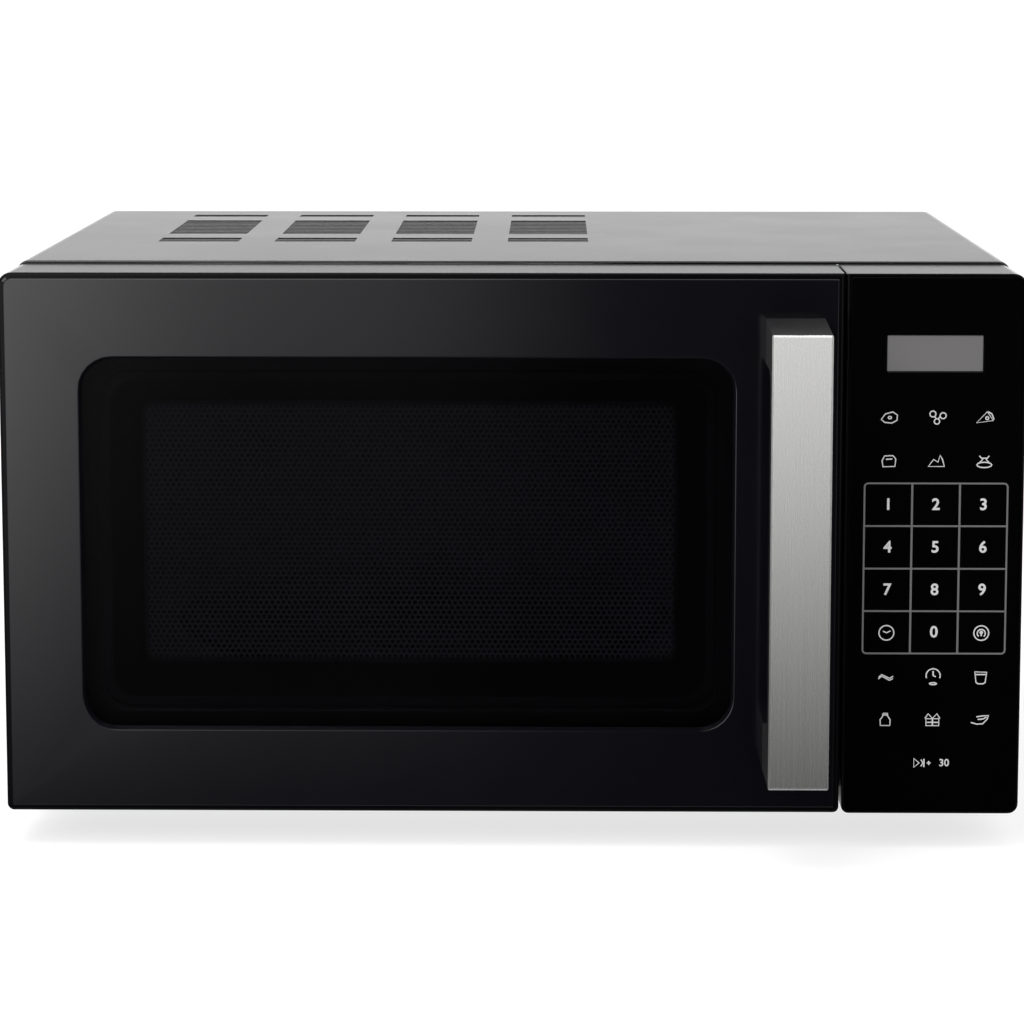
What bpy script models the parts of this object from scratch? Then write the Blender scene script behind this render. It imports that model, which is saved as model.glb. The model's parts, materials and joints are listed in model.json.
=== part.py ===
"""Countertop microwave oven, built as separate solids.

Metres, +Z up. The oven faces -Y and its hinge side is at -X. The origin is the middle of the
oven's box, on the surface that the feet stand on. Run it with
blender --background --python part.py, or from Blender's text editor.
"""

import math

import bmesh
import bpy
from mathutils import Matrix, Vector

mm = 0.001

# ---------------------------------------------------------------- driving dimensions
WIDTH = 452 * mm  # door and control panel together
FRONT_HEIGHT = 242 * mm  # door and control panel
SHELL_DEPTH = 298 * mm  # casing behind the door
DOOR_DEPTH = 46 * mm
HANDLE_REACH = 42 * mm  # from the door's face to the front of the grip
FOOT_HEIGHT = 16 * mm
PANEL_WIDTH = 78.8 * mm
SEAM = 1.0 * mm  # between the door and the control panel
ROOF_STEP = 1.0 * mm  # roof of the casing above the top of the door
SIDE_STEP = 1.0 * mm  # side of the door proud of the casing
DOOR_STANDOFF = 1.5 * mm  # air between the closed door and the front plate

SHEET = 1.0 * mm  # steel sheet of the chassis and casing
GAP = 0.3 * mm  # between pieces that touch
SCREW_HEAD = 2.0 * mm
SCREW_HEAD_RADIUS = 3.6 * mm
SCREW_RADIUS = 1.8 * mm
SCREW_HOLE = SCREW_RADIUS + GAP

# ---------------------------------------------------------------- places that follow from them
DEPTH = HANDLE_REACH + DOOR_DEPTH + SHELL_DEPTH + SCREW_HEAD
Y_GRIP = -DEPTH / 2
Y_FRONT = Y_GRIP + HANDLE_REACH
Y_DOOR_BACK = Y_FRONT + DOOR_DEPTH
Y_PLATE = Y_DOOR_BACK + DOOR_STANDOFF
Y_BACK = Y_DOOR_BACK + SHELL_DEPTH
X_LEFT = -WIDTH / 2
X_RIGHT = WIDTH / 2
Z_BASE = FOOT_HEIGHT
Z_TOP = Z_BASE + FRONT_HEIGHT
Z_ROOF = Z_TOP + ROOF_STEP
X_SEAM = X_RIGHT - PANEL_WIDTH  # left edge of the control panel
X_DOOR = X_SEAM - SEAM  # right edge of the door

# ---------------------------------------------------------------- casing
CASING_ROUND = 5 * mm
REAR_FLANGE = 12 * mm
PAN_RIM = 12 * mm  # folded rim of the base and of the back plate
VENT_COLUMNS = 4
VENT_PITCH_X = 56.6 * mm
VENT_LENGTH = 39 * mm
VENT_FIRST_X = 71 * mm  # centre of the first column, from the casing's left side
VENT_SLOT = 4.5 * mm
VENT_SLOT_PITCH = 9 * mm
VENT_ROWS = ((102 * mm, 3), (147 * mm, 10), (257 * mm, 2))  # distance behind the casing's front edge, slots
SLOT = 4 * mm  # slots in the sides, the back and the base
SLOT_PITCH = 8 * mm

# ---------------------------------------------------------------- cavity
CAVITY_LEFT = 23 * mm  # from the oven's left side to the cavity
LATCH_OUT = 18.2 * mm  # from the cavity's right side to the latch's middle
LATCH_IN = 17 * mm  # from the latch's middle to the door's right edge
CAVITY_FLOOR = 24 * mm  # above the base
CAVITY_CEILING = 20 * mm  # below the roof
CAVITY_BEHIND = 13 * mm  # behind the cavity
CAVITY_ROUND = 6 * mm
X_CAVITY = X_LEFT + CAVITY_LEFT
X_LATCH = X_DOOR - LATCH_IN
X_CAVITY_R = X_LATCH - LATCH_OUT
Z_CAVITY = Z_BASE + CAVITY_FLOOR
Z_CAVITY_T = Z_ROOF - CAVITY_CEILING
Y_CAVITY = Y_PLATE + SHEET + GAP
Y_CAVITY_B = Y_BACK - CAVITY_BEHIND
PORT_WIDTH = 80 * mm  # microwave port in the right wall
PORT_HEIGHT = 46 * mm
PORT_RISE = 62 * mm  # from the cavity floor to the port
PORT_SETBACK = 115 * mm  # from the front plate to the port's middle
MICA_LAP = 8 * mm
MICA = 0.8 * mm
LAMP_SETBACK = 52 * mm
LAMP_DROP = 34 * mm
LAMP_HOLE = 3 * mm
EXHAUST_SETBACK = 200 * mm
EXHAUST_DROP = 30 * mm

# ---------------------------------------------------------------- door
DOOR_WALL = 2.5 * mm
DOOR_FACE = 3 * mm
HINGE_IN = 8 * mm  # hinge axis from the door's left side
HINGE_FORE = 12 * mm  # hinge axis in front of the door's back
HINGE_PIN = 2.5 * mm
HINGE_ARM = 3 * mm  # half width of the hinge arm
HINGE_ARM_THICK = 2 * mm
HINGE_INSET = 21 * mm  # hinge arm from the door's top and bottom
HINGE_PIN_LENGTH = 8 * mm  # above and below the arm
SPINE_WIDTH = 13 * mm  # solid strip of the door frame that holds the hinge
SPINE_DEPTH = 23 * mm
CORNER_TOP = 6 * mm
CORNER_BOTTOM = 4 * mm
CORNER_SEAM = 3 * mm
WINDOW_LEFT = 35 * mm  # window opening from the door's sides
WINDOW_RIGHT = 47.5 * mm
WINDOW_TOP = 37.2 * mm
WINDOW_BOTTOM = 37.3 * mm
WINDOW_ROUND = 15 * mm
WINDOW_LAP = 8 * mm  # glass behind the frame, past the opening
GLASS = 3 * mm
SCREEN_FORE = 12 * mm  # perforated field in front of the door's back
SCREEN_BACK = DOOR_DEPTH - SCREEN_FORE  # and behind its face
SCREEN_RIM_BACK = 14 * mm
SCREEN_LEDGE = 12 * mm  # from the opening's outline to the ledge of the screen panel
SCREEN_SLOPE = 12 * mm
SCREEN_SHEET = 0.8 * mm
CHOKE_WALL = 9 * mm
CHOKE_LAP = 6 * mm  # choke past the cavity's opening
CHOKE_SHEET = 1 * mm
COVER_DEPTH = 9 * mm  # plastic cover on the door's inner side
COVER_WALL = 2 * mm
COVER_LAP = 4 * mm  # from the perforated field to the cover
INNER_WINDOW = 1.6 * mm
INNER_WINDOW_LAP = 5 * mm
RIB = 2.5 * mm
X_HINGE = X_LEFT + HINGE_IN
Y_HINGE = Y_DOOR_BACK - HINGE_FORE

# ---------------------------------------------------------------- handle
GRIP_WIDTH = 26 * mm
GRIP_RIGHT = 8.5 * mm  # from the grip to the door's right edge
GRIP_TOP = 19.6 * mm  # from the grip to the door's top
GRIP_BOTTOM = 21.2 * mm
GRIP_THICK = 11 * mm
GRIP_POST = 20 * mm
GRIP_TRIM = 1.4 * mm  # aluminium strip on the grip
GRIP_CAP_RISE = 2.8 * mm  # top of the grip, from its front to the door

# ---------------------------------------------------------------- latch
LATCH_THICK = 6 * mm
LATCH_BAR = 9 * mm
LATCH_BAR_BACK = 26 * mm  # back of the bar behind the door's face
LATCH_RISE = 52 * mm  # lower hook above the base
LATCH_DROP = 52 * mm  # upper hook below the door's top
LATCH_HOOK = 10 * mm
LATCH_REACH = 20 * mm  # hook behind the front plate
LATCH_TRAVEL = 4 * mm
LATCH_CLEAR = 3 * mm
SPRING_LENGTH = 16 * mm
SPRING_TURNS = 5
SPRING_RADIUS = 2.2 * mm
SPRING_WIRE = 0.4 * mm
Z_HOOKS = (Z_BASE + LATCH_RISE, Z_TOP - LATCH_DROP)

# ---------------------------------------------------------------- control panel
PANEL_WALL = 2.5 * mm
PANEL_FACE = 4 * mm
FASCIA = 0.9 * mm
FASCIA_MARGIN = 1.2 * mm
MEMBRANE = 0.5 * mm
MEMBRANE_MARGIN = 5 * mm
DISPLAY_WIDTH = 42.0 * mm
DISPLAY_HEIGHT = 15.8 * mm
DISPLAY_SHIFT = -0.6 * mm  # display's middle right of the panel's middle
DISPLAY_TOP = 27.2 * mm  # from the panel's top
BOARD = 1.6 * mm
BOARD_HEIGHT = 150 * mm
BOARD_BACK = 20 * mm  # behind the panel's face

# ---------------------------------------------------------------- turntable
TRAY_CLEARANCE = 18 * mm  # between the glass tray and the cavity
TRAY_THICK = 4 * mm
TRAY_RIM = 9 * mm
TRAY_RIM_WIDTH = 17 * mm
ROLLER_RADIUS = 7.5 * mm
ROLLER_WIDTH = 6 * mm
ROLLER_IN = 27 * mm  # rollers inside the tray's edge
ROLLER_PIN = 2 * mm
ROLLER_COUNT = 3
RING_THICK = 5 * mm
SHAFT_RADIUS = 3.5 * mm
COUPLER_REACH = 15 * mm
COUPLER_ARM = 7 * mm
COUPLER_HEIGHT = 11 * mm
COUPLER_RISE = 2 * mm  # above the cavity floor
LUG_DEPTH = 5 * mm
MOTOR_RADIUS = 24.5 * mm
MOTOR_HEIGHT = 16 * mm
X_TABLE = (X_CAVITY + X_CAVITY_R) / 2
Y_TABLE = (Y_CAVITY + Y_CAVITY_B) / 2
TRAY_RADIUS = min(X_CAVITY_R - X_CAVITY, Y_CAVITY_B - Y_CAVITY) / 2 - TRAY_CLEARANCE
ROLLER_CIRCLE = TRAY_RADIUS - ROLLER_IN
Z_ROLLER = Z_CAVITY + GAP + ROLLER_RADIUS
Z_TRAY = Z_ROLLER + ROLLER_RADIUS + GAP

# ---------------------------------------------------------------- power parts
GUIDE_DEPTH = 26 * mm
GUIDE_WIDTH = 90 * mm
MAGNETRON_WIDTH = 62 * mm
MAGNETRON_LENGTH = 80 * mm
FILTER_DEPTH = 15.7 * mm
FILTER_SIDE = 2.4 * mm  # from the filter box to the casing
MAGNETRON_DROP = 28 * mm  # below the roof
FIN_COUNT = 8
TRANSFORMER_SETBACK = 48 * mm
TRANSFORMER_WIDTH = 86 * mm
TRANSFORMER_STACK = 50 * mm
TRANSFORMER_HEIGHT = 72 * mm
COIL_THICK = 12 * mm
CORE_LEG = 30 * mm
CAPACITOR_SIZE = (34 * mm, 52 * mm, 88 * mm)
CAPACITOR_BEHIND = 28 * mm  # from the back plate
CLAMP = 1.2 * mm
FAN_LEFT = 3 * mm  # from the cavity's wall to the fan's shroud
FAN_RIGHT = 10 * mm  # from the shroud to the casing's outside
FAN_RIM = 4 * mm  # shroud outside the blades' circle
FAN_DEPTH = 34 * mm
FAN_BLADES = 7
FAN_HUB = 13 * mm
FAN_SHAFT = 2.5 * mm

# ---------------------------------------------------------------- scene helpers
for leftover in list(bpy.data.objects):
    bpy.data.objects.remove(leftover, do_unlink=True)


def new_collection(name):
    made = bpy.data.collections.new(name)
    bpy.context.scene.collection.children.link(made)
    return made


OVEN = new_collection("microwave_oven")
CUTTERS = new_collection("cutters")


def new_material(name, colour, roughness, metallic=0.0, transmission=0.0):
    made = bpy.data.materials.new(name)
    made.use_nodes = True
    shader = made.node_tree.nodes["Principled BSDF"]
    shader.inputs["Base Color"].default_value = (*colour, 1)
    shader.inputs["Roughness"].default_value = roughness
    shader.inputs["Metallic"].default_value = metallic
    shader.inputs["Transmission Weight"].default_value = transmission
    made.diffuse_color = (*colour, 1)
    return made


BLACK_PAINT = new_material("black_paint", (0.012, 0.012, 0.013), 0.28, 0.2)
ENAMEL = new_material("grey_enamel", (0.62, 0.63, 0.64), 0.35)
GALVANISED = new_material("galvanised_steel", (0.55, 0.56, 0.58), 0.4, 0.9)
GLOSS_BLACK = new_material("gloss_black_plastic", (0.006, 0.006, 0.008), 0.08)
MATT_BLACK = new_material("matt_black_plastic", (0.015, 0.015, 0.016), 0.5)
SMOKED_GLASS = new_material("smoked_glass", (0.02, 0.02, 0.025), 0.03, 0.0, 0.8)
CLEAR_GLASS = new_material("clear_glass", (0.9, 0.95, 0.94), 0.03, 0.0, 1.0)
CLEAR_PLASTIC = new_material("clear_plastic", (0.85, 0.85, 0.85), 0.08, 0.0, 0.9)
ALUMINIUM = new_material("brushed_aluminium", (0.6, 0.6, 0.6), 0.3, 1.0)
DISPLAY_GREY = new_material("display_grey", (0.165, 0.16, 0.163), 0.3)
WHITE_PLASTIC = new_material("white_plastic", (0.75, 0.74, 0.7), 0.45)
COPPER = new_material("copper_winding", (0.45, 0.2, 0.09), 0.4, 0.8)
MICA_SHEET = new_material("mica", (0.55, 0.5, 0.42), 0.55)
CIRCUIT_GREEN = new_material("circuit_board", (0.03, 0.16, 0.07), 0.5)
SPRING_STEEL = new_material("spring_steel", (0.6, 0.6, 0.6), 0.3, 1.0)
RUBBER = new_material("rubber", (0.02, 0.02, 0.02), 0.8)

AXES = "xyz"


def finish(name, mesh, location, paint):
    """Puts a mesh in the oven's collection, or among the cutters when it has no paint."""
    made = bpy.data.objects.new(name, mesh)
    made.location = location
    if paint is None:
        CUTTERS.objects.link(made)
        made.hide_render = True
        made.display_type = "WIRE"
    else:
        OVEN.objects.link(made)
        mesh.materials.append(paint)
    return made


def round_edge(bm, axis, signs, radius, segments=4):
    """Rounds the edges of a box along one axis, on the sides that signs names on the other two."""
    along = AXES.index(axis)
    others = [k for k in range(3) if k != along]
    reach = [max(v.co[k] for v in bm.verts) for k in range(3)]
    edges = []
    for edge in bm.edges:
        first, second = (v.co for v in edge.verts)
        middle = (first + second) / 2
        if abs((first - second)[along]) < 1e-6 or abs(middle[along]) > 1e-6:
            continue
        if all(middle[k] * sign > reach[k] - 1e-6 for k, sign in zip(others, signs)):
            edges.append(edge)
    bmesh.ops.bevel(bm, geom=edges, offset=radius, segments=segments, profile=0.5, affect="EDGES")


def box_bmesh(size, rounds=()):
    bm = bmesh.new()
    bmesh.ops.create_cube(bm, size=1, matrix=Matrix.Diagonal((*size, 1)))
    for round_values in rounds:
        round_edge(bm, *round_values)
    return bm


def to_mesh(bm, name):
    mesh = bpy.data.meshes.new(name)
    bmesh.ops.recalc_face_normals(bm, faces=bm.faces)
    bm.to_mesh(mesh)
    bm.free()
    return mesh


def block(name, low, high, paint=None, rounds=()):
    """A box between two corners. rounds holds (axis, signs, radius) or (axis, signs, radius, segments)."""
    low, high = Vector(low), Vector(high)
    return finish(name, to_mesh(box_bmesh(high - low, rounds), name), (low + high) / 2, paint)


def around(axis, radius, segments=4):
    """The four edges of a box along one axis, all rounded the same."""
    return tuple((axis, (a, b), radius, segments) for a in (-1, 1) for b in (-1, 1))


def blocks(name, boxes, paint=None):
    """Several boxes that don't touch, in one mesh, as one cutter or one helper for a union."""
    bm = bmesh.new()
    for low, high in boxes:
        low, high = Vector(low), Vector(high)
        place = Matrix.Translation((low + high) / 2) @ Matrix.Diagonal((*(high - low), 1))
        bmesh.ops.create_cube(bm, size=1, matrix=place)
    return finish(name, to_mesh(bm, name), (0, 0, 0), paint)


TURN_TO = {"x": (0, math.pi / 2, 0), "y": (-math.pi / 2, 0, 0), "z": (0, 0, 0)}


def cylinder(name, axis, start, length, radius, paint=None, segments=20, end_radius=None):
    """A round bar from start, along +axis. It may taper to end_radius."""
    bm = bmesh.new()
    end_radius = radius if end_radius is None else end_radius
    bmesh.ops.create_cone(
        bm, cap_ends=True, segments=segments, radius1=radius, radius2=end_radius, depth=length,
        matrix=Matrix.Translation((0, 0, length / 2)),
    )
    made = finish(name, to_mesh(bm, name), start, paint)
    made.rotation_euler = TURN_TO[axis]
    return made


def cylinders(name, axis, starts, length, radius, segments=12):
    """Several parallel round cutters in one mesh."""
    bm = bmesh.new()
    turn = Matrix.Rotation(0, 4, "Z")
    if axis == "y":
        turn = Matrix.Rotation(-math.pi / 2, 4, "X")
    if axis == "x":
        turn = Matrix.Rotation(math.pi / 2, 4, "Y")
    for start in starts:
        place = Matrix.Translation(start) @ turn @ Matrix.Translation((0, 0, length / 2))
        bmesh.ops.create_cone(
            bm, cap_ends=True, segments=segments, radius1=radius, radius2=radius, depth=length, matrix=place
        )
    return finish(name, to_mesh(bm, name), (0, 0, 0), None)


def turned(name, profile, location, paint=None, steps=32, axis="z", ring=False):
    """A lathe-turned shape. profile holds (radius, height) down the outer side, then back up."""
    bm = bmesh.new()
    points = [bm.verts.new((radius, 0, height)) for radius, height in profile]
    for first, second in zip(points, points[1:]):
        bm.edges.new((first, second))
    if ring:
        bm.edges.new((points[-1], points[0]))
    mesh = bpy.data.meshes.new(name)
    bm.to_mesh(mesh)
    bm.free()
    made = finish(name, mesh, location, paint)
    made.rotation_euler = TURN_TO[axis]
    screw = made.modifiers.new("turn", "SCREW")
    screw.steps = screw.render_steps = steps
    screw.use_merge_vertices = True
    screw.merge_threshold = 1e-5
    screw.use_smooth_shade = False
    return made


def boolean(target, other, operation):
    step = target.modifiers.new(other.name, "BOOLEAN")
    step.object = other
    step.operation = operation
    step.solver = "EXACT"


def cut(target, *others):
    for other in others:
        boolean(target, other, "DIFFERENCE")
    return target


def join(target, *others):
    for other in others:
        boolean(target, other, "UNION")
    return target


def keep_open(bm, axis, sign):
    """Deletes the face of a box that looks along one axis, so that a shell is open there."""
    along = AXES.index(axis)
    faces = [f for f in bm.faces if f.normal[along] * sign > 0.99]
    bmesh.ops.delete(bm, geom=faces, context="FACES")


def pan(name, low, high, thickness, paint, openings, rounds=(), outward=False):
    """A box of sheet, open on the sides that openings names as (axis, sign)."""
    low, high = Vector(low), Vector(high)
    bm = box_bmesh(high - low, rounds)
    bm.normal_update()
    for axis, sign in openings:
        keep_open(bm, axis, sign)
    made = finish(name, to_mesh(bm, name), (low + high) / 2, paint)
    wall = made.modifiers.new("sheet", "SOLIDIFY")
    wall.thickness = thickness
    wall.offset = 1 if outward else -1
    wall.use_even_offset = True
    return made


def pivot(point, *pieces):
    """Moves the origins of pieces to a point on their joint's axis. The shapes stay where they are."""
    for piece in pieces:
        piece.data.transform(Matrix.Translation(piece.location - Vector(point)))
        piece.location = point


def extruded(name, axis, outline, low, high, paint=None):
    """An outline in the plane across an axis, made solid from low to high. Its points run around it."""
    along = AXES.index(axis)
    others = [k for k in range(3) if k != along]
    bm = bmesh.new()
    rings = []
    for level in (low, high):
        ring = []
        for first, second in outline:
            point = [0, 0, 0]
            point[along] = level
            point[others[0]] = first
            point[others[1]] = second
            ring.append(bm.verts.new(point))
        rings.append(ring)
    bm.faces.new(rings[0])
    bm.faces.new(rings[1])
    for k in range(len(outline)):
        n = (k + 1) % len(outline)
        bm.faces.new((rings[0][k], rings[0][n], rings[1][n], rings[1][k]))
    return finish(name, to_mesh(bm, name), (0, 0, 0), paint)


def dished(name, rings, thickness, paint):
    """Sheet that steps back from ring to ring. rings holds (low x, low z, high x, high z, radius, y)."""
    bm = bmesh.new()
    loops = []
    for low_x, low_z, high_x, high_z, radius, y in rings:
        loop = []
        corners = ((high_x, high_z, 0), (low_x, high_z, 1), (low_x, low_z, 2), (high_x, low_z, 3))
        for x, z, quarter in corners:
            centre_x = x + (radius if quarter in (1, 2) else -radius)
            centre_z = z + (radius if quarter in (2, 3) else -radius)
            for step in range(5):
                angle = (quarter + step / 4) * math.pi / 2
                place = (centre_x + radius * math.cos(angle), y, centre_z + radius * math.sin(angle))
                loop.append(bm.verts.new(place))
        loops.append(loop)
    for outer, inner in zip(loops, loops[1:]):
        for k in range(len(outer)):
            n = (k + 1) % len(outer)
            bm.faces.new((outer[k], outer[n], inner[n], inner[k]))
    bm.faces.new(loops[-1])
    mesh = bpy.data.meshes.new(name)
    bm.to_mesh(mesh)
    bm.free()
    made = finish(name, mesh, (0, 0, 0), paint)
    wall = made.modifiers.new("sheet", "SOLIDIFY")
    wall.thickness = thickness
    wall.offset = -1
    wall.use_even_offset = True
    return made


def spokes(name, count, inner, outer, width, low, high, centre, phase=0.0, tilt=0.0, axis="z", paint=None):
    """Bars spread evenly around an axis, each from one radius to another."""
    bm = bmesh.new()
    for k in range(count):
        turn = Matrix.Rotation(phase + k * 2 * math.pi / count, 4, "Z")
        place = Matrix.Translation(((inner + outer) / 2, 0, (low + high) / 2))
        size = Matrix.Diagonal((outer - inner, width, high - low, 1))
        bmesh.ops.create_cube(bm, size=1, matrix=turn @ place @ Matrix.Rotation(tilt, 4, "X") @ size)
    made = finish(name, to_mesh(bm, name), centre, paint)
    made.rotation_euler = TURN_TO[axis]
    return made


def radial_bars(name, count, inner, outer, radius, centre, segments=12):
    """Round bars that point away from a vertical axis."""
    bm = bmesh.new()
    for k in range(count):
        turn = Matrix.Rotation(k * 2 * math.pi / count, 4, "Z")
        place = Matrix.Translation(((inner + outer) / 2, 0, 0)) @ Matrix.Rotation(math.pi / 2, 4, "Y")
        bmesh.ops.create_cone(
            bm, cap_ends=True, segments=segments, radius1=radius, radius2=radius,
            depth=outer - inner, matrix=turn @ place,
        )
    return finish(name, to_mesh(bm, name), centre, None)


# ---------------------------------------------------------------- chassis and casing
CASING_X = WIDTH / 2 - SIDE_STEP  # outside of the casing
INSIDE_X = CASING_X - SHEET - GAP  # chassis inside the casing
Y_SHELL = Y_DOOR_BACK + DOOR_STANDOFF  # front edge of the casing
Y_FLANGE = Y_BACK - SHEET  # casing's rear flange, on the back plate
Y_REAR = Y_FLANGE - GAP  # outer face of the back plate
COVER_SCREWS = [
    (side * (CASING_X - REAR_FLANGE / 2), height)
    for side in (-1, 1)
    for height in (Z_BASE + 45 * mm, Z_ROOF - 35 * mm)
]


def roof_vents():
    slots = []
    for column in range(VENT_COLUMNS):
        x = -CASING_X + VENT_FIRST_X + column * VENT_PITCH_X
        for start, count in VENT_ROWS:
            for row in range(count):
                y = Y_SHELL + start + row * VENT_SLOT_PITCH
                low = (x - VENT_LENGTH / 2, y, Z_ROOF - 4 * mm)
                slots.append((low, (x + VENT_LENGTH / 2, y + VENT_SLOT, Z_ROOF + 4 * mm)))
    return blocks("roof_vent_cutter", slots)


def side_vents(side, behind, rise, count):
    """A row of upright slots in one side of the casing, measured from the back and the base."""
    slots = []
    for k in range(count):
        y = Y_BACK - behind - k * SLOT_PITCH
        slots.append(
            (
                (side * CASING_X - 4 * mm, y, Z_BASE + rise),
                (side * CASING_X + 4 * mm, y + SLOT, Z_BASE + rise + 40 * mm),
            )
        )
    return slots


def casing():
    """The wrap-round cover: roof and two sides in one sheet, with a flange on the back plate."""
    cover = pan(
        "wrap_cover",
        (-CASING_X, Y_SHELL, Z_BASE + SHEET),
        (CASING_X, Y_BACK, Z_ROOF),
        SHEET,
        BLACK_PAINT,
        (("z", -1), ("y", -1)),
        (("y", (-1, 1), CASING_ROUND), ("y", (1, 1), CASING_ROUND)),
    )
    back_opening = block(
        "cover_back_cutter",
        (-CASING_X + REAR_FLANGE, Y_BACK - 6 * mm, Z_BASE - 5 * mm),
        (CASING_X - REAR_FLANGE, Y_BACK + 6 * mm, Z_ROOF - REAR_FLANGE),
    )
    screw_holes = cylinders(
        "cover_screw_cutter", "y", [(x, Y_BACK - 6 * mm, z) for x, z in COVER_SCREWS], 12 * mm, SCREW_HOLE
    )
    slots = side_vents(1, 70 * mm, 40 * mm, 12)
    slots += side_vents(1, 70 * mm, 100 * mm, 12)
    slots += side_vents(-1, 90 * mm, 150 * mm, 9)
    sides = blocks("side_vent_cutter", slots)
    cut(cover, back_opening, screw_holes, roof_vents(), sides)


def base():
    """The bottom chassis pan, with its rim folded up inside the casing."""
    plate = pan(
        "base_plate",
        (-INSIDE_X, Y_PLATE + SHEET + GAP, Z_BASE),
        (INSIDE_X, Y_REAR, Z_BASE + PAN_RIM),
        SHEET,
        GALVANISED,
        (("z", 1), ("y", -1)),
    )
    hole = 3 * mm + GAP
    feet = cylinders(
        "foot_hole_cutter", "z", [(x, y, Z_BASE - 5 * mm) for x, y in FEET.values()], 10 * mm, hole, 16
    )
    slots = []
    for row in range(9):
        x = X_CAVITY_R + 25 * mm + row * SLOT_PITCH
        low = (x, Y_BACK - 110 * mm, Z_BASE - 5 * mm)
        slots.append((low, (x + SLOT, Y_BACK - 90 * mm, Z_BASE + 5 * mm)))
    cut(plate, feet, blocks("base_slot_cutter", slots))


FOOT_IN = 38 * mm
FEET = {
    "foot_front_left": (X_LEFT + FOOT_IN, Y_PLATE + 36 * mm),
    "foot_front_right": (X_RIGHT - FOOT_IN, Y_PLATE + 36 * mm),
    "foot_rear_left": (X_LEFT + FOOT_IN, Y_BACK - 32 * mm),
    "foot_rear_right": (X_RIGHT - FOOT_IN, Y_BACK - 32 * mm),
}


def feet():
    """Snap-in feet: a pad under the base plate, a neck through it and a barb above it."""
    pad, neck, barb = 9 * mm, 3 * mm, 4.2 * mm
    top = Z_BASE + SHEET + GAP
    profile = [
        (0, top + 4 * mm),
        (neck - 0.6 * mm, top + 4 * mm),
        (barb, top + 0.8 * mm),
        (barb, top),
        (neck, top),
        (neck, Z_BASE - GAP),
        (pad + 2 * mm, Z_BASE - GAP),
        (pad + 2 * mm, Z_BASE - 3 * mm),
        (pad, 1 * mm),
        (pad - 1 * mm, 0),
        (0, 0),
    ]
    for name, (x, y) in FEET.items():
        turned(name, profile, (x, y, 0), RUBBER, 16)


def back():
    """The rear plate, with its rim folded forward, the air outlets and the cable hole."""
    plate = pan(
        "back_plate",
        (-INSIDE_X, Y_REAR - PAN_RIM, Z_BASE + PAN_RIM + GAP),
        (INSIDE_X, Y_REAR, Z_ROOF - SHEET - GAP),
        SHEET,
        GALVANISED,
        (("y", -1),),
        (("y", (-1, 1), CASING_ROUND), ("y", (1, 1), CASING_ROUND)),
    )
    holes = cylinders(
        "back_screw_cutter", "y", [(x, Y_REAR - 6 * mm, z) for x, z in COVER_SCREWS], 12 * mm, SCREW_HOLE
    )
    cable_start = (X_CABLE, Y_REAR - 6 * mm, Z_CABLE)
    cable = cylinder("cable_hole_cutter", "y", cable_start, 12 * mm, GLAND_RADIUS + GAP)
    slots = []
    for row in range(10):
        z = Z_FAN - 38 * mm + row * SLOT_PITCH
        slots.append(((X_FAN - 38 * mm, Y_REAR - 5 * mm, z), (X_FAN + 38 * mm, Y_REAR + 5 * mm, z + SLOT)))
    for row in range(5):
        z = Z_ROOF - 75 * mm + row * SLOT_PITCH
        for start in (X_CAVITY + 20 * mm, X_CAVITY + 90 * mm):
            slots.append(((start, Y_REAR - 5 * mm, z), (start + 50 * mm, Y_REAR + 5 * mm, z + SLOT)))
    cut(plate, holes, cable, blocks("back_slot_cutter", slots))


def cover_screws():
    for number, (x, z) in enumerate(COVER_SCREWS, 1):
        profile = [
            (0, SCREW_HEAD),
            (SCREW_HEAD_RADIUS * 0.7, SCREW_HEAD),
            (SCREW_HEAD_RADIUS, SCREW_HEAD * 0.4),
            (SCREW_HEAD_RADIUS, GAP),
            (SCREW_RADIUS, GAP),
            (SCREW_RADIUS, -8 * mm),
            (0, -9.5 * mm),
        ]
        turned(f"cover_screw_{number}", profile, (x, Y_BACK, z), GALVANISED, 12, "y")


# ---------------------------------------------------------------- places inside the compartment
X_WALL = X_CAVITY_R + SHEET  # outside of the cavity's right wall
FAN_SHROUD = CASING_X - X_WALL - FAN_LEFT - FAN_RIGHT
FAN_RADIUS = FAN_SHROUD / 2 - FAN_RIM
X_GUIDE = X_WALL + GAP + GUIDE_DEPTH  # outside of the waveguide
X_FILTER = CASING_X - SHEET - FILTER_SIDE - FILTER_DEPTH
X_POWER = (X_WALL + CASING_X) / 2  # middle of the compartment
Y_PORT = Y_PLATE + PORT_SETBACK
Z_MAGNETRON = Z_ROOF - MAGNETRON_DROP - MAGNETRON_WIDTH / 2
X_FAN = X_WALL + FAN_LEFT + FAN_SHROUD / 2
Z_FAN = Z_ROOF - 9 * mm - FAN_SHROUD / 2
GLAND_RADIUS = 8 * mm
X_CABLE = X_RIGHT - 44 * mm
Z_CABLE = Z_BASE + 40 * mm
WINDOW_LOW = (X_LEFT + WINDOW_LEFT, Z_BASE + WINDOW_BOTTOM)
WINDOW_HIGH = (X_DOOR - WINDOW_RIGHT, Z_TOP - WINDOW_TOP)
HINGES = {"lower_hinge": Z_BASE + HINGE_INSET, "upper_hinge": Z_TOP - HINGE_INSET}


def window_block(name, grow, front, back, radius, paint=None):
    """A block of the window's outline, grown on every side, between two depths behind the door's face."""
    return block(
        name,
        (WINDOW_LOW[0] - grow, Y_FRONT + front, WINDOW_LOW[1] - grow),
        (WINDOW_HIGH[0] + grow, Y_FRONT + back, WINDOW_HIGH[1] + grow),
        paint,
        around("y", radius),
    )


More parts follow.
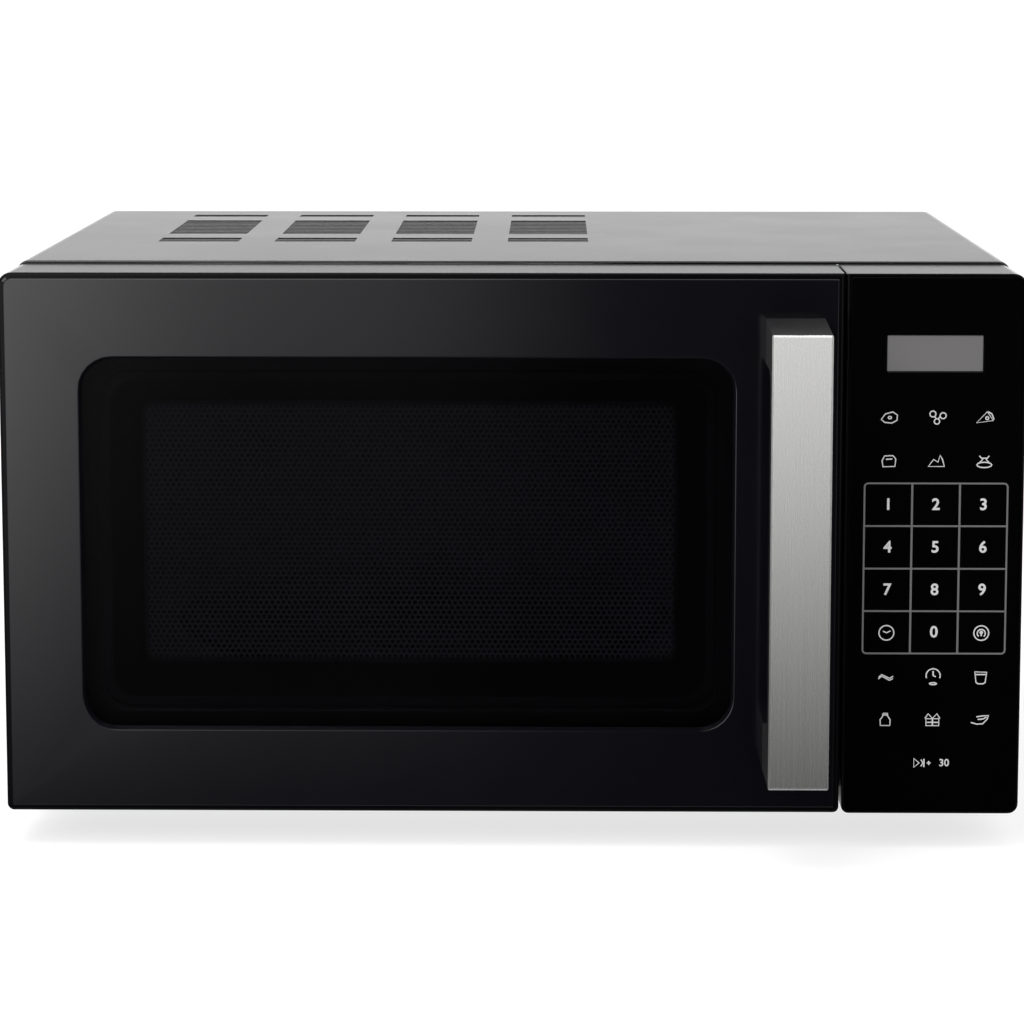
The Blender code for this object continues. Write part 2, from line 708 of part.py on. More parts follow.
def hook_slots(name, y, side):
    """Openings for the two latch hooks, around the plane y. They leave room for the latch's travel."""
    half = LATCH_THICK / 2
    reach = LATCH_HOOK / 2 + 3 * mm
    return blocks(
        name,
        [
            (
                (X_LATCH - half - 1 * mm, y - 4 * mm, z - reach),
                (X_LATCH + half + side, y + 4 * mm, z + reach + LATCH_TRAVEL),
            )
            for z in Z_HOOKS
        ],
    )


# ---------------------------------------------------------------- chassis front and cavity
def front_plate():
    plate = block(
        "front_plate",
        (-INSIDE_X, Y_PLATE, Z_BASE),
        (INSIDE_X, Y_PLATE + SHEET, Z_ROOF - SHEET - GAP),
        ENAMEL,
        (("y", (-1, 1), CASING_ROUND), ("y", (1, 1), CASING_ROUND)),
    )
    opening = block(
        "cavity_opening_cutter",
        (X_CAVITY, Y_PLATE - 5 * mm, Z_CAVITY),
        (X_CAVITY_R, Y_PLATE + 5 * mm, Z_CAVITY_T),
        None,
        around("y", CAVITY_ROUND, 3),
    )
    panel_opening = block(
        "panel_opening_cutter",
        (X_SEAM + 12 * mm, Y_PLATE - 5 * mm, Z_BASE + 30 * mm),
        (X_RIGHT - 14 * mm, Y_PLATE + 5 * mm, Z_TOP - 30 * mm),
        None,
        around("y", 6 * mm, 2),
    )
    arms = blocks(
        "hinge_arm_cutter",
        [
            (
                (X_HINGE - HINGE_ARM - 0.5 * mm, Y_PLATE - 5 * mm, z - HINGE_ARM_THICK / 2 - 0.5 * mm),
                (X_HINGE + HINGE_ARM + 0.5 * mm, Y_PLATE + 5 * mm, z + HINGE_ARM_THICK / 2 + 0.5 * mm),
            )
            for z in HINGES.values()
        ],
    )
    cut(plate, opening, panel_opening, arms, hook_slots("plate_hook_cutter", Y_PLATE, LATCH_CLEAR))


def cavity():
    """The oven's cavity: one drawn steel box, open at the front."""
    box = pan(
        "cavity_box",
        (X_CAVITY, Y_CAVITY, Z_CAVITY),
        (X_CAVITY_R, Y_CAVITY_B, Z_CAVITY_T),
        SHEET,
        ENAMEL,
        (("y", -1),),
        around("y", CAVITY_ROUND, 3),
        outward=True,
    )
    port = block(
        "port_cutter",
        (X_CAVITY_R - 5 * mm, Y_PORT - PORT_WIDTH / 2, Z_CAVITY + PORT_RISE),
        (X_CAVITY_R + 5 * mm, Y_PORT + PORT_WIDTH / 2, Z_CAVITY + PORT_RISE + PORT_HEIGHT),
        None,
    )
    start = (X_TABLE, Y_TABLE, Z_CAVITY - 5 * mm)
    shaft = cylinder("shaft_hole_cutter", "z", start, 10 * mm, SHAFT_RADIUS + 1 * mm, None, 16)
    lamp_rows = [(a, b) for a in (-9, -3, 3, 9) for b in (-6, 0, 6)]
    lamp = cylinders(
        "lamp_hole_cutter",
        "x",
        [
            (X_CAVITY_R - 5 * mm, Y_PLATE + LAMP_SETBACK + a * mm, Z_CAVITY_T - LAMP_DROP + b * mm)
            for a, b in lamp_rows
        ],
        10 * mm,
        LAMP_HOLE / 2,
        8,
    )
    slots = []
    for k in range(6):
        y = Y_PLATE + EXHAUST_SETBACK + k * SLOT_PITCH
        low = (X_CAVITY - 5 * mm, y, Z_CAVITY_T - EXHAUST_DROP - 24 * mm)
        slots.append((low, (X_CAVITY + 5 * mm, y + SLOT, Z_CAVITY_T - EXHAUST_DROP)))
    cut(box, port, shaft, lamp, blocks("exhaust_cutter", slots))


def mica_cover():
    half = PORT_WIDTH / 2 + MICA_LAP
    low = Z_CAVITY + PORT_RISE - MICA_LAP
    block(
        "mica_cover",
        (X_CAVITY_R - GAP - MICA, Y_PORT - half, low),
        (X_CAVITY_R - GAP, Y_PORT + half, low + PORT_HEIGHT + 2 * MICA_LAP),
        MICA_SHEET,
        around("x", 5 * mm, 2),
    )


def hinge_brackets():
    """Steel brackets behind the front plate. Their arms carry the pins that the door turns on."""
    back_of_plate = Y_PLATE + SHEET + GAP
    for name, z in HINGES.items():
        inward = 1 if z < (Z_BASE + Z_TOP) / 2 else -1
        reach = 34 * mm * inward
        low, high = sorted((z - 4 * mm * inward, z + reach))
        half = HINGE_ARM_THICK / 2
        bracket = block(
            name + "_bracket",
            (X_HINGE - HINGE_ARM, back_of_plate, low),
            (X_CAVITY - SHEET - 2 * mm, back_of_plate + HINGE_ARM_THICK, high),
            GALVANISED,
        )
        arm = block(
            name + "_arm",
            (X_HINGE - HINGE_ARM, Y_HINGE - HINGE_ARM, z - half),
            (X_HINGE + HINGE_ARM, back_of_plate + half, z + half),
            None,
            (("z", (-1, -1), HINGE_ARM * 0.95, 3), ("z", (1, -1), HINGE_ARM * 0.95, 3)),
        )
        start = (X_HINGE, Y_HINGE, z - HINGE_PIN_LENGTH)
        pin = cylinder(name + "_pin", "z", start, 2 * HINGE_PIN_LENGTH, HINGE_PIN, None, 16)
        join(bracket, arm, pin)


def cable_gland():
    """The rubber bush that the supply cable leaves the back plate through."""
    profile = [
        (4 * mm, 1.2 * mm),
        (GLAND_RADIUS + 2 * mm, 1.2 * mm),
        (GLAND_RADIUS + 2 * mm, GAP),
        (GLAND_RADIUS, GAP),
        (GLAND_RADIUS, -SHEET - GAP),
        (GLAND_RADIUS + 1.5 * mm, -SHEET - GAP),
        (GLAND_RADIUS, -SHEET - 5 * mm),
        (4 * mm, -SHEET - 5 * mm),
    ]
    turned("cable_gland", profile, (X_CABLE, Y_REAR, Z_CABLE), MATT_BLACK, 20, "y", ring=True)


# ---------------------------------------------------------------- door
def door_frame():
    """The moulded outer door: face, four walls, window surround and the strip that holds the hinge."""
    frame = block(
        "door_frame",
        (X_LEFT, Y_FRONT, Z_BASE),
        (X_DOOR, Y_DOOR_BACK, Z_TOP),
        GLOSS_BLACK,
        (
            ("y", (-1, 1), CORNER_TOP),
            ("y", (-1, -1), CORNER_BOTTOM),
            ("y", (1, -1), CORNER_SEAM),
        ),
    )
    hinge_round = extruded(
        "hinge_round_cutter",
        "z",
        [(X_LEFT - 1 * mm, Y_DOOR_BACK + 1 * mm), (X_LEFT - 1 * mm, Y_DOOR_BACK - HINGE_IN)]
        + [
            (
                X_LEFT + HINGE_IN * (1 - math.cos(step * math.pi / 10)),
                Y_DOOR_BACK - HINGE_IN * (1 - math.sin(step * math.pi / 10)),
            )
            for step in range(6)
        ]
        + [(X_LEFT + HINGE_IN, Y_DOOR_BACK + 1 * mm)],
        Z_BASE - 1 * mm,
        Z_TOP + 1 * mm,
    )
    rib_depth = SCREEN_RIM_BACK - GAP
    inner_low = (X_LEFT + DOOR_WALL, Z_BASE + DOOR_WALL)
    inner_high = (X_DOOR - DOOR_WALL, Z_TOP - DOOR_WALL)
    deep = block(
        "door_pocket_cutter",
        (X_LEFT + SPINE_WIDTH, Y_FRONT + rib_depth, inner_low[1]),
        (inner_high[0], Y_DOOR_BACK + 5 * mm, inner_high[1]),
    )
    shallow = block(
        "door_rim_cutter",
        (inner_low[0], Y_FRONT + DOOR_FACE, inner_low[1]),
        (inner_high[0], Y_FRONT + DOOR_DEPTH - SPINE_DEPTH, inner_high[1]),
    )
    rib = WINDOW_LAP + GAP
    outside = rib + RIB
    around_rib = window_block(
        "door_rib_cutter", outside, DOOR_FACE - 5 * mm, DOOR_DEPTH, WINDOW_ROUND + outside
    )
    cut(shallow, around_rib)
    inside_rib = window_block("door_glass_cutter", rib, DOOR_FACE, rib_depth + 5 * mm, WINDOW_ROUND + rib)
    window = window_block("door_window_cutter", 0, -5 * mm, DOOR_FACE + 5 * mm, WINDOW_ROUND)
    stud_starts = [(x, Y_FRONT - 5 * mm, z) for x, z in STUDS]
    studs = cylinders("handle_hole_cutter", "y", stud_starts, 15 * mm, STUD + GAP)
    cut(frame, hinge_round, deep, shallow, inside_rib, window, studs)
    for name, z in HINGES.items():
        half = HINGE_ARM_THICK / 2 + 0.6 * mm
        slot = block(
            name + "_slot_cutter",
            (X_LEFT - 5 * mm, Y_HINGE - 8 * mm, z - half),
            (X_LEFT + SPINE_WIDTH + 1 * mm, Y_DOOR_BACK + 5 * mm, z + half),
        )
        reach = HINGE_PIN_LENGTH + GAP
        start = (X_HINGE, Y_HINGE, z - reach)
        hole = cylinder(name + "_hole_cutter", "z", start, 2 * reach, HINGE_PIN + GAP, None, 16)
        cut(frame, slot, hole)
    seat = block(
        "spring_seat",
        (X_LATCH - 4 * mm, Y_FRONT + DOOR_FACE / 2, Z_BASE + DOOR_WALL / 2),
        (X_LATCH + 4 * mm, Y_FRONT + LATCH_BAR_BACK, Z_SPRING),
    )
    join(frame, seat)
    return frame


STUD = 2.5 * mm
STUDS = [
    (X_DOOR - GRIP_RIGHT - GRIP_WIDTH / 2, Z_BASE + GRIP_BOTTOM + GRIP_POST / 2),
    (X_DOOR - GRIP_RIGHT - GRIP_WIDTH / 2, Z_TOP - GRIP_TOP - GRIP_POST / 2),
]
Z_LATCH = Z_HOOKS[0] - LATCH_HOOK / 2 - 7 * mm  # lower end of the latch bar
Z_SPRING = Z_LATCH - SPRING_LENGTH - 2 * GAP  # top of the spring's seat


def door_window_pieces():
    """Outer glass, perforated steel panel with its sloping rim, and the film on the inner side."""
    front = DOOR_FACE + GAP
    corner = WINDOW_ROUND + WINDOW_LAP
    glass = window_block("door_glass", WINDOW_LAP, front, front + GLASS, corner, SMOKED_GLASS)
    ledge, slope = SCREEN_LEDGE, SCREEN_LEDGE + SCREEN_SLOPE
    rings = [
        (
            X_CAVITY - CHOKE_LAP,
            Z_CAVITY - CHOKE_LAP,
            X_CAVITY_R + CHOKE_LAP,
            Z_CAVITY_T + CHOKE_LAP,
            6 * mm,
            Y_FRONT + SCREEN_RIM_BACK,
        )
    ]
    for inset, depth, radius in ((ledge, SCREEN_RIM_BACK, 11 * mm), (slope, SCREEN_BACK, 6 * mm)):
        rings.append(
            (
                WINDOW_LOW[0] + inset,
                WINDOW_LOW[1] + inset,
                WINDOW_HIGH[0] - inset,
                WINDOW_HIGH[1] - inset,
                radius,
                Y_FRONT + depth,
            )
        )
    screen = dished("door_screen", rings, SCREEN_SHEET, MATT_BLACK)
    film_front = SCREEN_BACK + SCREEN_SHEET + GAP
    film = window_block(
        "inner_window",
        INNER_WINDOW_LAP + COVER_LAP - slope,
        film_front,
        film_front + INNER_WINDOW,
        4 * mm,
        CLEAR_PLASTIC,
    )
    return glass, screen, film


def door_choke():
    """The steel channel around the door that keeps the microwaves in. It opens towards the oven."""
    front = Y_FRONT + SCREEN_RIM_BACK + SCREEN_SHEET + GAP
    back = Y_DOOR_BACK - COVER_WALL - GAP
    low = (X_CAVITY - CHOKE_LAP, front, Z_CAVITY - CHOKE_LAP)
    high = (X_CAVITY_R + CHOKE_LAP, back, Z_CAVITY_T + CHOKE_LAP)
    ring = block("door_choke", low, high, GALVANISED)
    wall = CHOKE_WALL

    def ring_block(name, inset, start, end):
        return block(
            name, (low[0] + inset, start, low[2] + inset), (high[0] - inset, end, high[2] - inset)
        )

    middle = ring_block("choke_middle_cutter", wall, front - 5 * mm, back + 5 * mm)
    groove = ring_block("choke_groove_cutter", CHOKE_SHEET, front + CHOKE_SHEET, back + 5 * mm)
    cut(groove, ring_block("choke_core_cutter", wall - CHOKE_SHEET, front - 5 * mm, back + 6 * mm))
    return cut(ring, middle, groove)


def door_cover():
    """The plastic cover on the door's inner side, with a skirt around the window."""
    front = Y_DOOR_BACK - COVER_DEPTH
    low = (X_LEFT + SPINE_WIDTH + GAP, front, Z_BASE + DOOR_WALL + GAP)
    high = (X_DOOR - DOOR_WALL - GAP, Y_DOOR_BACK, Z_TOP - DOOR_WALL - GAP)
    cover = block("door_cover", low, high, MATT_BLACK)
    inset = SCREEN_LEDGE + SCREEN_SLOPE - COVER_LAP
    pocket = block(
        "cover_pocket_cutter",
        (low[0] + COVER_WALL, front - 5 * mm, low[2] + COVER_WALL),
        (high[0] - COVER_WALL, Y_DOOR_BACK - COVER_WALL, high[2] - COVER_WALL),
    )
    depth = DOOR_DEPTH
    shallow = depth - COVER_DEPTH
    skirt = window_block("cover_skirt_cutter", COVER_WALL - inset, shallow - 6 * mm, depth, 8 * mm)
    cut(pocket, skirt)
    window = window_block("cover_window_cutter", -inset, shallow - 5 * mm, depth + 5 * mm, 6 * mm)
    return cut(cover, pocket, window, hook_slots("cover_hook_cutter", Y_DOOR_BACK, 1 * mm))


def handle():
    """The bow handle: black grip with an aluminium strip on its front and a stud in each foot."""
    left = X_DOOR - GRIP_RIGHT - GRIP_WIDTH
    right = X_DOOR - GRIP_RIGHT
    low, high = Z_BASE + GRIP_BOTTOM, Z_TOP - GRIP_TOP
    front_high = high - GRIP_CAP_RISE
    front, back = Y_GRIP + GRIP_TRIM + GAP, Y_FRONT - GAP
    inner = Y_GRIP + GRIP_THICK
    bend = 8 * mm
    outline = [
        (front, low),
        (back, low - 1 * mm),
        (back, low + GRIP_POST),
        (inner + bend, low + GRIP_POST),
        (inner + bend * 0.3, low + GRIP_POST + bend * 0.3),
        (inner, low + GRIP_POST + bend),
        (inner, high - GRIP_POST - bend),
        (inner + bend * 0.3, high - GRIP_POST - bend * 0.3),
        (inner + bend, high - GRIP_POST),
        (back, high - GRIP_POST),
        (back, high),
        (front, front_high),
    ]
    grip = extruded("handle_grip", "x", outline, left, right, MATT_BLACK)
    length = back - Y_FRONT + 8 * mm
    join(grip, cylinders("handle_stud", "y", [(x, back - 1 * mm, z) for x, z in STUDS], length, STUD))
    strip = block(
        "handle_strip",
        (left, Y_GRIP, low),
        (right, Y_GRIP + GRIP_TRIM, front_high),
        ALUMINIUM,
        around("y", 1 * mm, 2),
    )
    return grip, strip


def latch():
    """The sliding bar with two hooks, and the spring that pulls it down."""
    half = LATCH_THICK / 2
    back = Y_FRONT + LATCH_BAR_BACK
    bar = block(
        "latch_bar",
        (X_LATCH - half, back - LATCH_BAR, Z_LATCH),
        (X_LATCH + half, back, Z_HOOKS[1] + LATCH_HOOK / 2 + 7 * mm),
        WHITE_PLASTIC,
    )
    tip = Y_PLATE + SHEET + LATCH_REACH
    for number, z in enumerate(Z_HOOKS, 1):
        tall = LATCH_HOOK / 2
        outline = [
            (back - 2 * mm, z - tall + 1 * mm),
            (tip - 10 * mm, z - tall + 1 * mm),
            (tip - 10 * mm, z - tall - 1.5 * mm),
            (tip - 6 * mm, z - tall - 1.5 * mm),
            (tip, z),
            (tip, z + 2 * mm),
            (tip - 8 * mm, z + tall),
            (back - 2 * mm, z + tall),
        ]
        join(bar, extruded(f"latch_hook_{number}", "x", outline, X_LATCH - half, X_LATCH + half))
    return bar


def latch_spring():
    curve = bpy.data.curves.new("latch_spring", "CURVE")
    curve.dimensions = "3D"
    curve.bevel_depth = SPRING_WIRE
    curve.bevel_resolution = 1
    curve.use_fill_caps = True
    per_turn = 10
    count = SPRING_TURNS * per_turn + 1
    line = curve.splines.new("POLY")
    line.points.add(count - 1)
    length = SPRING_LENGTH - 2 * SPRING_WIRE
    for k, point in enumerate(line.points):
        angle = 2 * math.pi * k / per_turn
        x, y = SPRING_RADIUS * math.cos(angle), SPRING_RADIUS * math.sin(angle)
        point.co = (x, y, SPRING_WIRE + length * k / (count - 1), 1)
    made = bpy.data.objects.new("latch_spring", curve)
    made.location = (X_LATCH, Y_FRONT + LATCH_BAR_BACK - LATCH_BAR / 2, Z_SPRING + GAP)
    OVEN.objects.link(made)
    curve.materials.append(SPRING_STEEL)


# ---------------------------------------------------------------- control panel
def control_panel():
    """The moulded panel with its printed overlay, keypad membrane, display and board."""
    frame = block(
        "control_panel_frame",
        (X_SEAM, Y_FRONT, Z_BASE),
        (X_RIGHT, Y_PLATE - GAP, Z_TOP),
        GLOSS_BLACK,
        (
            ("y", (1, 1), CORNER_TOP),
            ("y", (1, -1), CORNER_BOTTOM),
            ("y", (-1, -1), CORNER_SEAM),
        ),
    )
    hollow = block(
        "panel_hollow_cutter",
        (X_SEAM + PANEL_WALL, Y_FRONT + PANEL_FACE, Z_BASE + PANEL_WALL),
        (X_RIGHT - PANEL_WALL, Y_PLATE + 5 * mm, Z_TOP - PANEL_WALL),
    )
    margin = FASCIA_MARGIN
    recess_depth = FASCIA + MEMBRANE + 2 * GAP
    recess = block(
        "panel_recess_cutter",
        (X_SEAM + margin, Y_FRONT - 5 * mm, Z_BASE + margin),
        (X_RIGHT - margin, Y_FRONT + recess_depth, Z_TOP - margin),
        None,
        around("y", CORNER_BOTTOM, 3),
    )
    show_left = X_SEAM + (PANEL_WIDTH - DISPLAY_WIDTH) / 2 + DISPLAY_SHIFT
    show_low = (show_left, Z_TOP - DISPLAY_TOP - DISPLAY_HEIGHT)
    show_high = (show_low[0] + DISPLAY_WIDTH, show_low[1] + DISPLAY_HEIGHT)

    def display_block(name, grow, front, back, paint=None):
        return block(
            name,
            (show_low[0] - grow, Y_FRONT + front, show_low[1] - grow),
            (show_high[0] + grow, Y_FRONT + back, show_high[1] + grow),
            paint,
        )

    posts = [
        (x, Y_FRONT + PANEL_FACE - 1 * mm, z)
        for x in (X_SEAM + 11 * mm, X_RIGHT - 11 * mm)
        for z in (Z_BOARD + 8 * mm, Z_BOARD + BOARD_HEIGHT - 8 * mm)
    ]
    post_length = BOARD_BACK - PANEL_FACE + 1 * mm - GAP
    cut(frame, hollow, recess, display_block("panel_display_cutter", GAP, -5 * mm, PANEL_FACE + 5 * mm))
    join(frame, cylinders("board_post", "y", posts, post_length, 3 * mm, 8))

    inset = margin + GAP
    fascia = block(
        "control_panel_fascia",
        (X_SEAM + inset, Y_FRONT, Z_BASE + inset),
        (X_RIGHT - inset, Y_FRONT + FASCIA, Z_TOP - inset),
        GLOSS_BLACK,
        around("y", CORNER_BOTTOM - GAP, 3),
    )
    cut(fascia, display_block("fascia_display_cutter", GAP, -5 * mm, 5 * mm))
    edge = MEMBRANE_MARGIN
    block(
        "keypad_membrane",
        (X_SEAM + edge, Y_FRONT + FASCIA + GAP, Z_BASE + edge),
        (X_RIGHT - edge, Y_FRONT + FASCIA + GAP + MEMBRANE, show_low[1] - edge),
        WHITE_PLASTIC,
    )
    display_block("display_window", 0, 0, PANEL_FACE - GAP, DISPLAY_GREY)
    display_block("display_module", 2 * mm, PANEL_FACE + GAP, BOARD_BACK - GAP, MATT_BLACK)
    block(
        "control_board",
        (X_SEAM + 6 * mm, Y_FRONT + BOARD_BACK, Z_BOARD),
        (X_RIGHT - 6 * mm, Y_FRONT + BOARD_BACK + BOARD, Z_BOARD + BOARD_HEIGHT),
        CIRCUIT_GREEN,
    )
    relay_low = (X_SEAM + 14 * mm, Y_FRONT + BOARD_BACK + BOARD + GAP, Z_BOARD + 20 * mm)
    relay_high = (X_SEAM + 44 * mm, Y_PLATE - 2 * mm, Z_BOARD + 42 * mm)
    block("power_relay", relay_low, relay_high, WHITE_PLASTIC)


Z_BOARD = Z_TOP - 12 * mm - BOARD_HEIGHT


# ---------------------------------------------------------------- turntable
def turntable():
    """Motor, coupler, roller ring with its wheels, and the glass tray."""
    centre = (X_TABLE, Y_TABLE)
    motor_top = MOTOR_HEIGHT
    profile = [
        (0, motor_top - 10 * mm),
        (SHAFT_RADIUS + GAP, motor_top - 10 * mm),
        (SHAFT_RADIUS + GAP, motor_top),
        (MOTOR_RADIUS, motor_top),
        (MOTOR_RADIUS, 0),
        (0, 0),
    ]
    z_motor = Z_BASE + SHEET + GAP
    motor = turned("turntable_motor", profile, (*centre, z_motor), GALVANISED, 24)
    ears = block(
        "motor_ears",
        (X_TABLE - MOTOR_RADIUS - 6 * mm, Y_TABLE - 6 * mm, z_motor + 2 * mm),
        (X_TABLE - MOTOR_RADIUS + 4 * mm, Y_TABLE + 6 * mm, z_motor + 4 * mm),
    )
    join(motor, ears)

    shaft_low = z_motor + motor_top - 10 * mm + GAP
    top = Z_CAVITY + COUPLER_RISE + COUPLER_HEIGHT
    hub = 8 * mm
    profile = [
        (0, top - shaft_low),
        (hub - 1 * mm, top - shaft_low),
        (hub, top - shaft_low - 1 * mm),
        (hub, Z_CAVITY + COUPLER_RISE - shaft_low),
        (SHAFT_RADIUS, Z_CAVITY + COUPLER_RISE - shaft_low),
        (SHAFT_RADIUS, 0),
        (0, 0),
    ]
    coupler = turned("drive_coupler", profile, (*centre, shaft_low), WHITE_PLASTIC, 24)
    arm_low = top - shaft_low - 6 * mm
    arm_high = top - shaft_low - 1 * mm
    arms = spokes(
        "coupler_arms", 3, hub * 0.6, COUPLER_REACH, COUPLER_ARM, arm_low, arm_high, (*centre, shaft_low)
    )
    join(coupler, arms)

    half = RING_THICK / 2
    ring_outer = ROLLER_CIRCLE - ROLLER_WIDTH / 2 - 1 * mm
    ring_inner = ring_outer - 6 * mm
    ring_centre = (*centre, Z_ROLLER)
    profile = [(ring_inner, half), (ring_outer, half), (ring_outer, -half), (ring_inner, -half)]
    ring = turned("roller_ring", profile, ring_centre, WHITE_PLASTIC, 48, ring=True)
    hub_in, hub_out = COUPLER_REACH + 1.5 * mm, COUPLER_REACH + 5 * mm
    profile = [(hub_in, half), (hub_out, half), (hub_out, -half), (hub_in, -half)]
    ring_hub = turned("roller_ring_hub", profile, ring_centre, None, 24, ring=True)
    third = math.pi / ROLLER_COUNT
    bars = spokes(
        "roller_ring_spokes", ROLLER_COUNT, hub_out - 1.5 * mm, ring_inner + 2 * mm, 6 * mm,
        -half * 0.7, half * 0.7, ring_centre, third,
    )
    pin_end = ROLLER_CIRCLE + ROLLER_WIDTH / 2 + 2 * mm
    pins = radial_bars("roller_pins", ROLLER_COUNT, ring_outer - 2 * mm, pin_end, ROLLER_PIN, ring_centre)
    join(ring, pins, bars, ring_hub)

    for number in range(ROLLER_COUNT):
        angle = 2 * math.pi * number / ROLLER_COUNT
        side = ROLLER_WIDTH / 2
        bore = ROLLER_PIN + GAP
        profile = [(bore, side), (ROLLER_RADIUS - 0.8 * mm, side), (ROLLER_RADIUS, side - 0.8 * mm)]
        profile += [(ROLLER_RADIUS, 0.8 * mm - side), (ROLLER_RADIUS - 0.8 * mm, -side), (bore, -side)]
        place = (
            X_TABLE + ROLLER_CIRCLE * math.cos(angle),
            Y_TABLE + ROLLER_CIRCLE * math.sin(angle),
            Z_ROLLER,
        )
        wheel = turned(f"roller_{number + 1}", profile, place, MATT_BLACK, 24, ring=True)
        wheel.rotation_euler = (0, math.pi / 2, angle)

    radius = TRAY_RADIUS
    profile = [
        (0, TRAY_THICK),
        (radius - TRAY_RIM_WIDTH, TRAY_THICK),
        (radius - 3 * mm, TRAY_THICK + TRAY_RIM - 1 * mm),
        (radius - 1 * mm, TRAY_THICK + TRAY_RIM),
        (radius, TRAY_THICK + TRAY_RIM - 1.5 * mm),
        (radius - TRAY_RIM_WIDTH + 2 * mm, 0),
        (0, 0),
    ]
    middle = (*centre, Z_TRAY)
    tray = turned("glass_tray", profile, middle, CLEAR_GLASS, 48)
    lugs = spokes("tray_lugs", 3, 10 * mm, COUPLER_REACH - 1 * mm, 6 * mm, -LUG_DEPTH, 1 * mm, middle, third)
    join(tray, lugs)


# ---------------------------------------------------------------- power parts
def waveguide_and_magnetron():
    low_x = X_WALL + GAP
    guide_x = X_GUIDE
    low_z = Z_CAVITY + PORT_RISE - 4 * mm
    guide = pan(
        "waveguide",
        (low_x, Y_PORT - GUIDE_WIDTH / 2, low_z),
        (guide_x, Y_PORT + GUIDE_WIDTH / 2, Z_MAGNETRON + MAGNETRON_WIDTH / 2),
        SHEET,
        GALVANISED,
        (("x", -1),),
    )
    antenna_hole = 10 * mm
    axis = (Y_PORT, Z_MAGNETRON)
    cut(guide, cylinder("antenna_hole_cutter", "x", (guide_x - 5 * mm, *axis), 10 * mm, antenna_hole))

    low_x = guide_x + GAP
    high_x = X_FILTER - GAP
    height = high_x - low_x
    yoke = pan(
        "magnetron_yoke",
        (low_x, Y_PORT - MAGNETRON_LENGTH / 2, Z_MAGNETRON - MAGNETRON_WIDTH / 2),
        (high_x, Y_PORT + MAGNETRON_LENGTH / 2, Z_MAGNETRON + MAGNETRON_WIDTH / 2),
        1.5 * mm,
        GALVANISED,
        (("y", -1), ("y", 1)),
    )
    cut(yoke, cylinder("yoke_hole_cutter", "x", (low_x - 5 * mm, *axis), 10 * mm, antenna_hole))
    start = low_x + 1.5 * mm + GAP
    length = height - 2 * (1.5 * mm + GAP)
    core = cylinder("magnetron_fins", "x", (start, *axis), length, 17 * mm, ALUMINIUM, 24)
    step = length / (FIN_COUNT + 1)
    half_long = MAGNETRON_LENGTH / 2 - 3 * mm
    half_high = MAGNETRON_WIDTH / 2 - 2 * mm
    fins = []
    for k in range(FIN_COUNT):
        x = start + step * (k + 1)
        low = (x - 0.5 * mm, Y_PORT - half_long, Z_MAGNETRON - half_high)
        fins.append((low, (x + 0.5 * mm, Y_PORT + half_long, Z_MAGNETRON + half_high)))
    join(core, blocks("fin_plates", fins))
    antenna_start = guide_x - 16 * mm
    antenna_length = start - GAP - antenna_start
    cylinder("magnetron_antenna", "x", (antenna_start, *axis), antenna_length, 7 * mm, WHITE_PLASTIC)
    block(
        "magnetron_filter_box",
        (X_FILTER, Y_PORT - 20 * mm, Z_MAGNETRON - 22 * mm),
        (X_FILTER + FILTER_DEPTH, Y_PORT + 20 * mm, Z_MAGNETRON + 22 * mm),
        GALVANISED,
    )


def transformer():
    """The high-voltage transformer: laminated core with two coils around its middle leg."""
    x, low = X_POWER, Z_BASE + SHEET + GAP
    front = Y_PLATE + TRANSFORMER_SETBACK + COIL_THICK
    back = front + TRANSFORMER_STACK
    half = TRANSFORMER_WIDTH / 2
    high = low + TRANSFORMER_HEIGHT
    core = block("transformer_core", (x - half, front, low), (x + half, back, high), GALVANISED)
    leg = CORE_LEG / 2
    inner = half - leg
    window_low, window_high = low + leg, high - leg
    cut(
        core,
        blocks(
            "core_window_cutter",
            [
                ((x - inner, front - 5 * mm, window_low), (x - leg, back + 5 * mm, window_high)),
                ((x + leg, front - 5 * mm, window_low), (x + inner, back + 5 * mm, window_high)),
            ],
        ),
    )
    middle = (window_low + window_high) / 2
    levels = {
        "primary_winding": (window_low + GAP, middle - GAP / 2),
        "secondary_winding": (middle + GAP / 2, window_high - GAP),
    }
    for name, (coil_low, coil_high) in levels.items():
        coil = block(
            name,
            (x - inner + GAP, front - COIL_THICK, coil_low),
            (x + inner - GAP, back + COIL_THICK, coil_high),
            COPPER,
            around("z", 6 * mm, 2),
        )
        hole = block(
            name + "_cutter",
            (x - leg - GAP, front - GAP, coil_low - 5 * mm),
            (x + leg + GAP, back + GAP, coil_high + 5 * mm),
        )
        cut(coil, hole)


def capacitor():
    width, depth, height = CAPACITOR_SIZE
    low = Z_BASE + SHEET + GAP
    left = X_WALL + 12 * mm
    back = Y_REAR - CAPACITOR_BEHIND
    block(
        "hv_capacitor",
        (left, back - depth, low),
        (left + width, back, low + height),
        GALVANISED,
        around("z", 12 * mm, 3),
    )
    ring_low, ring_high = low + height * 0.4, low + height * 0.55
    outer = GAP + CLAMP
    clamp = block(
        "capacitor_clamp",
        (left - outer, back - depth - outer, ring_low),
        (left + width + outer, back + outer, ring_high),
        GALVANISED,
        around("z", 12 * mm, 3),
    )
    hole = block(
        "clamp_cutter",
        (left - GAP, back - depth - GAP, ring_low - 5 * mm),
        (left + width + GAP, back + GAP, ring_high + 5 * mm),
        None,
        around("z", 11 * mm, 3),
    )
    cut(clamp, hole)
    right = left + width + GAP
    near, far = back - depth / 2 - 7 * mm, back - depth / 2 + 7 * mm
    leg = block("clamp_leg", (right, near, low), (right + CLAMP, far, ring_high - 1 * mm))
    foot = block("clamp_foot", (right, near, low), (right + 14 * mm, far, low + CLAMP))
    join(clamp, leg, foot)


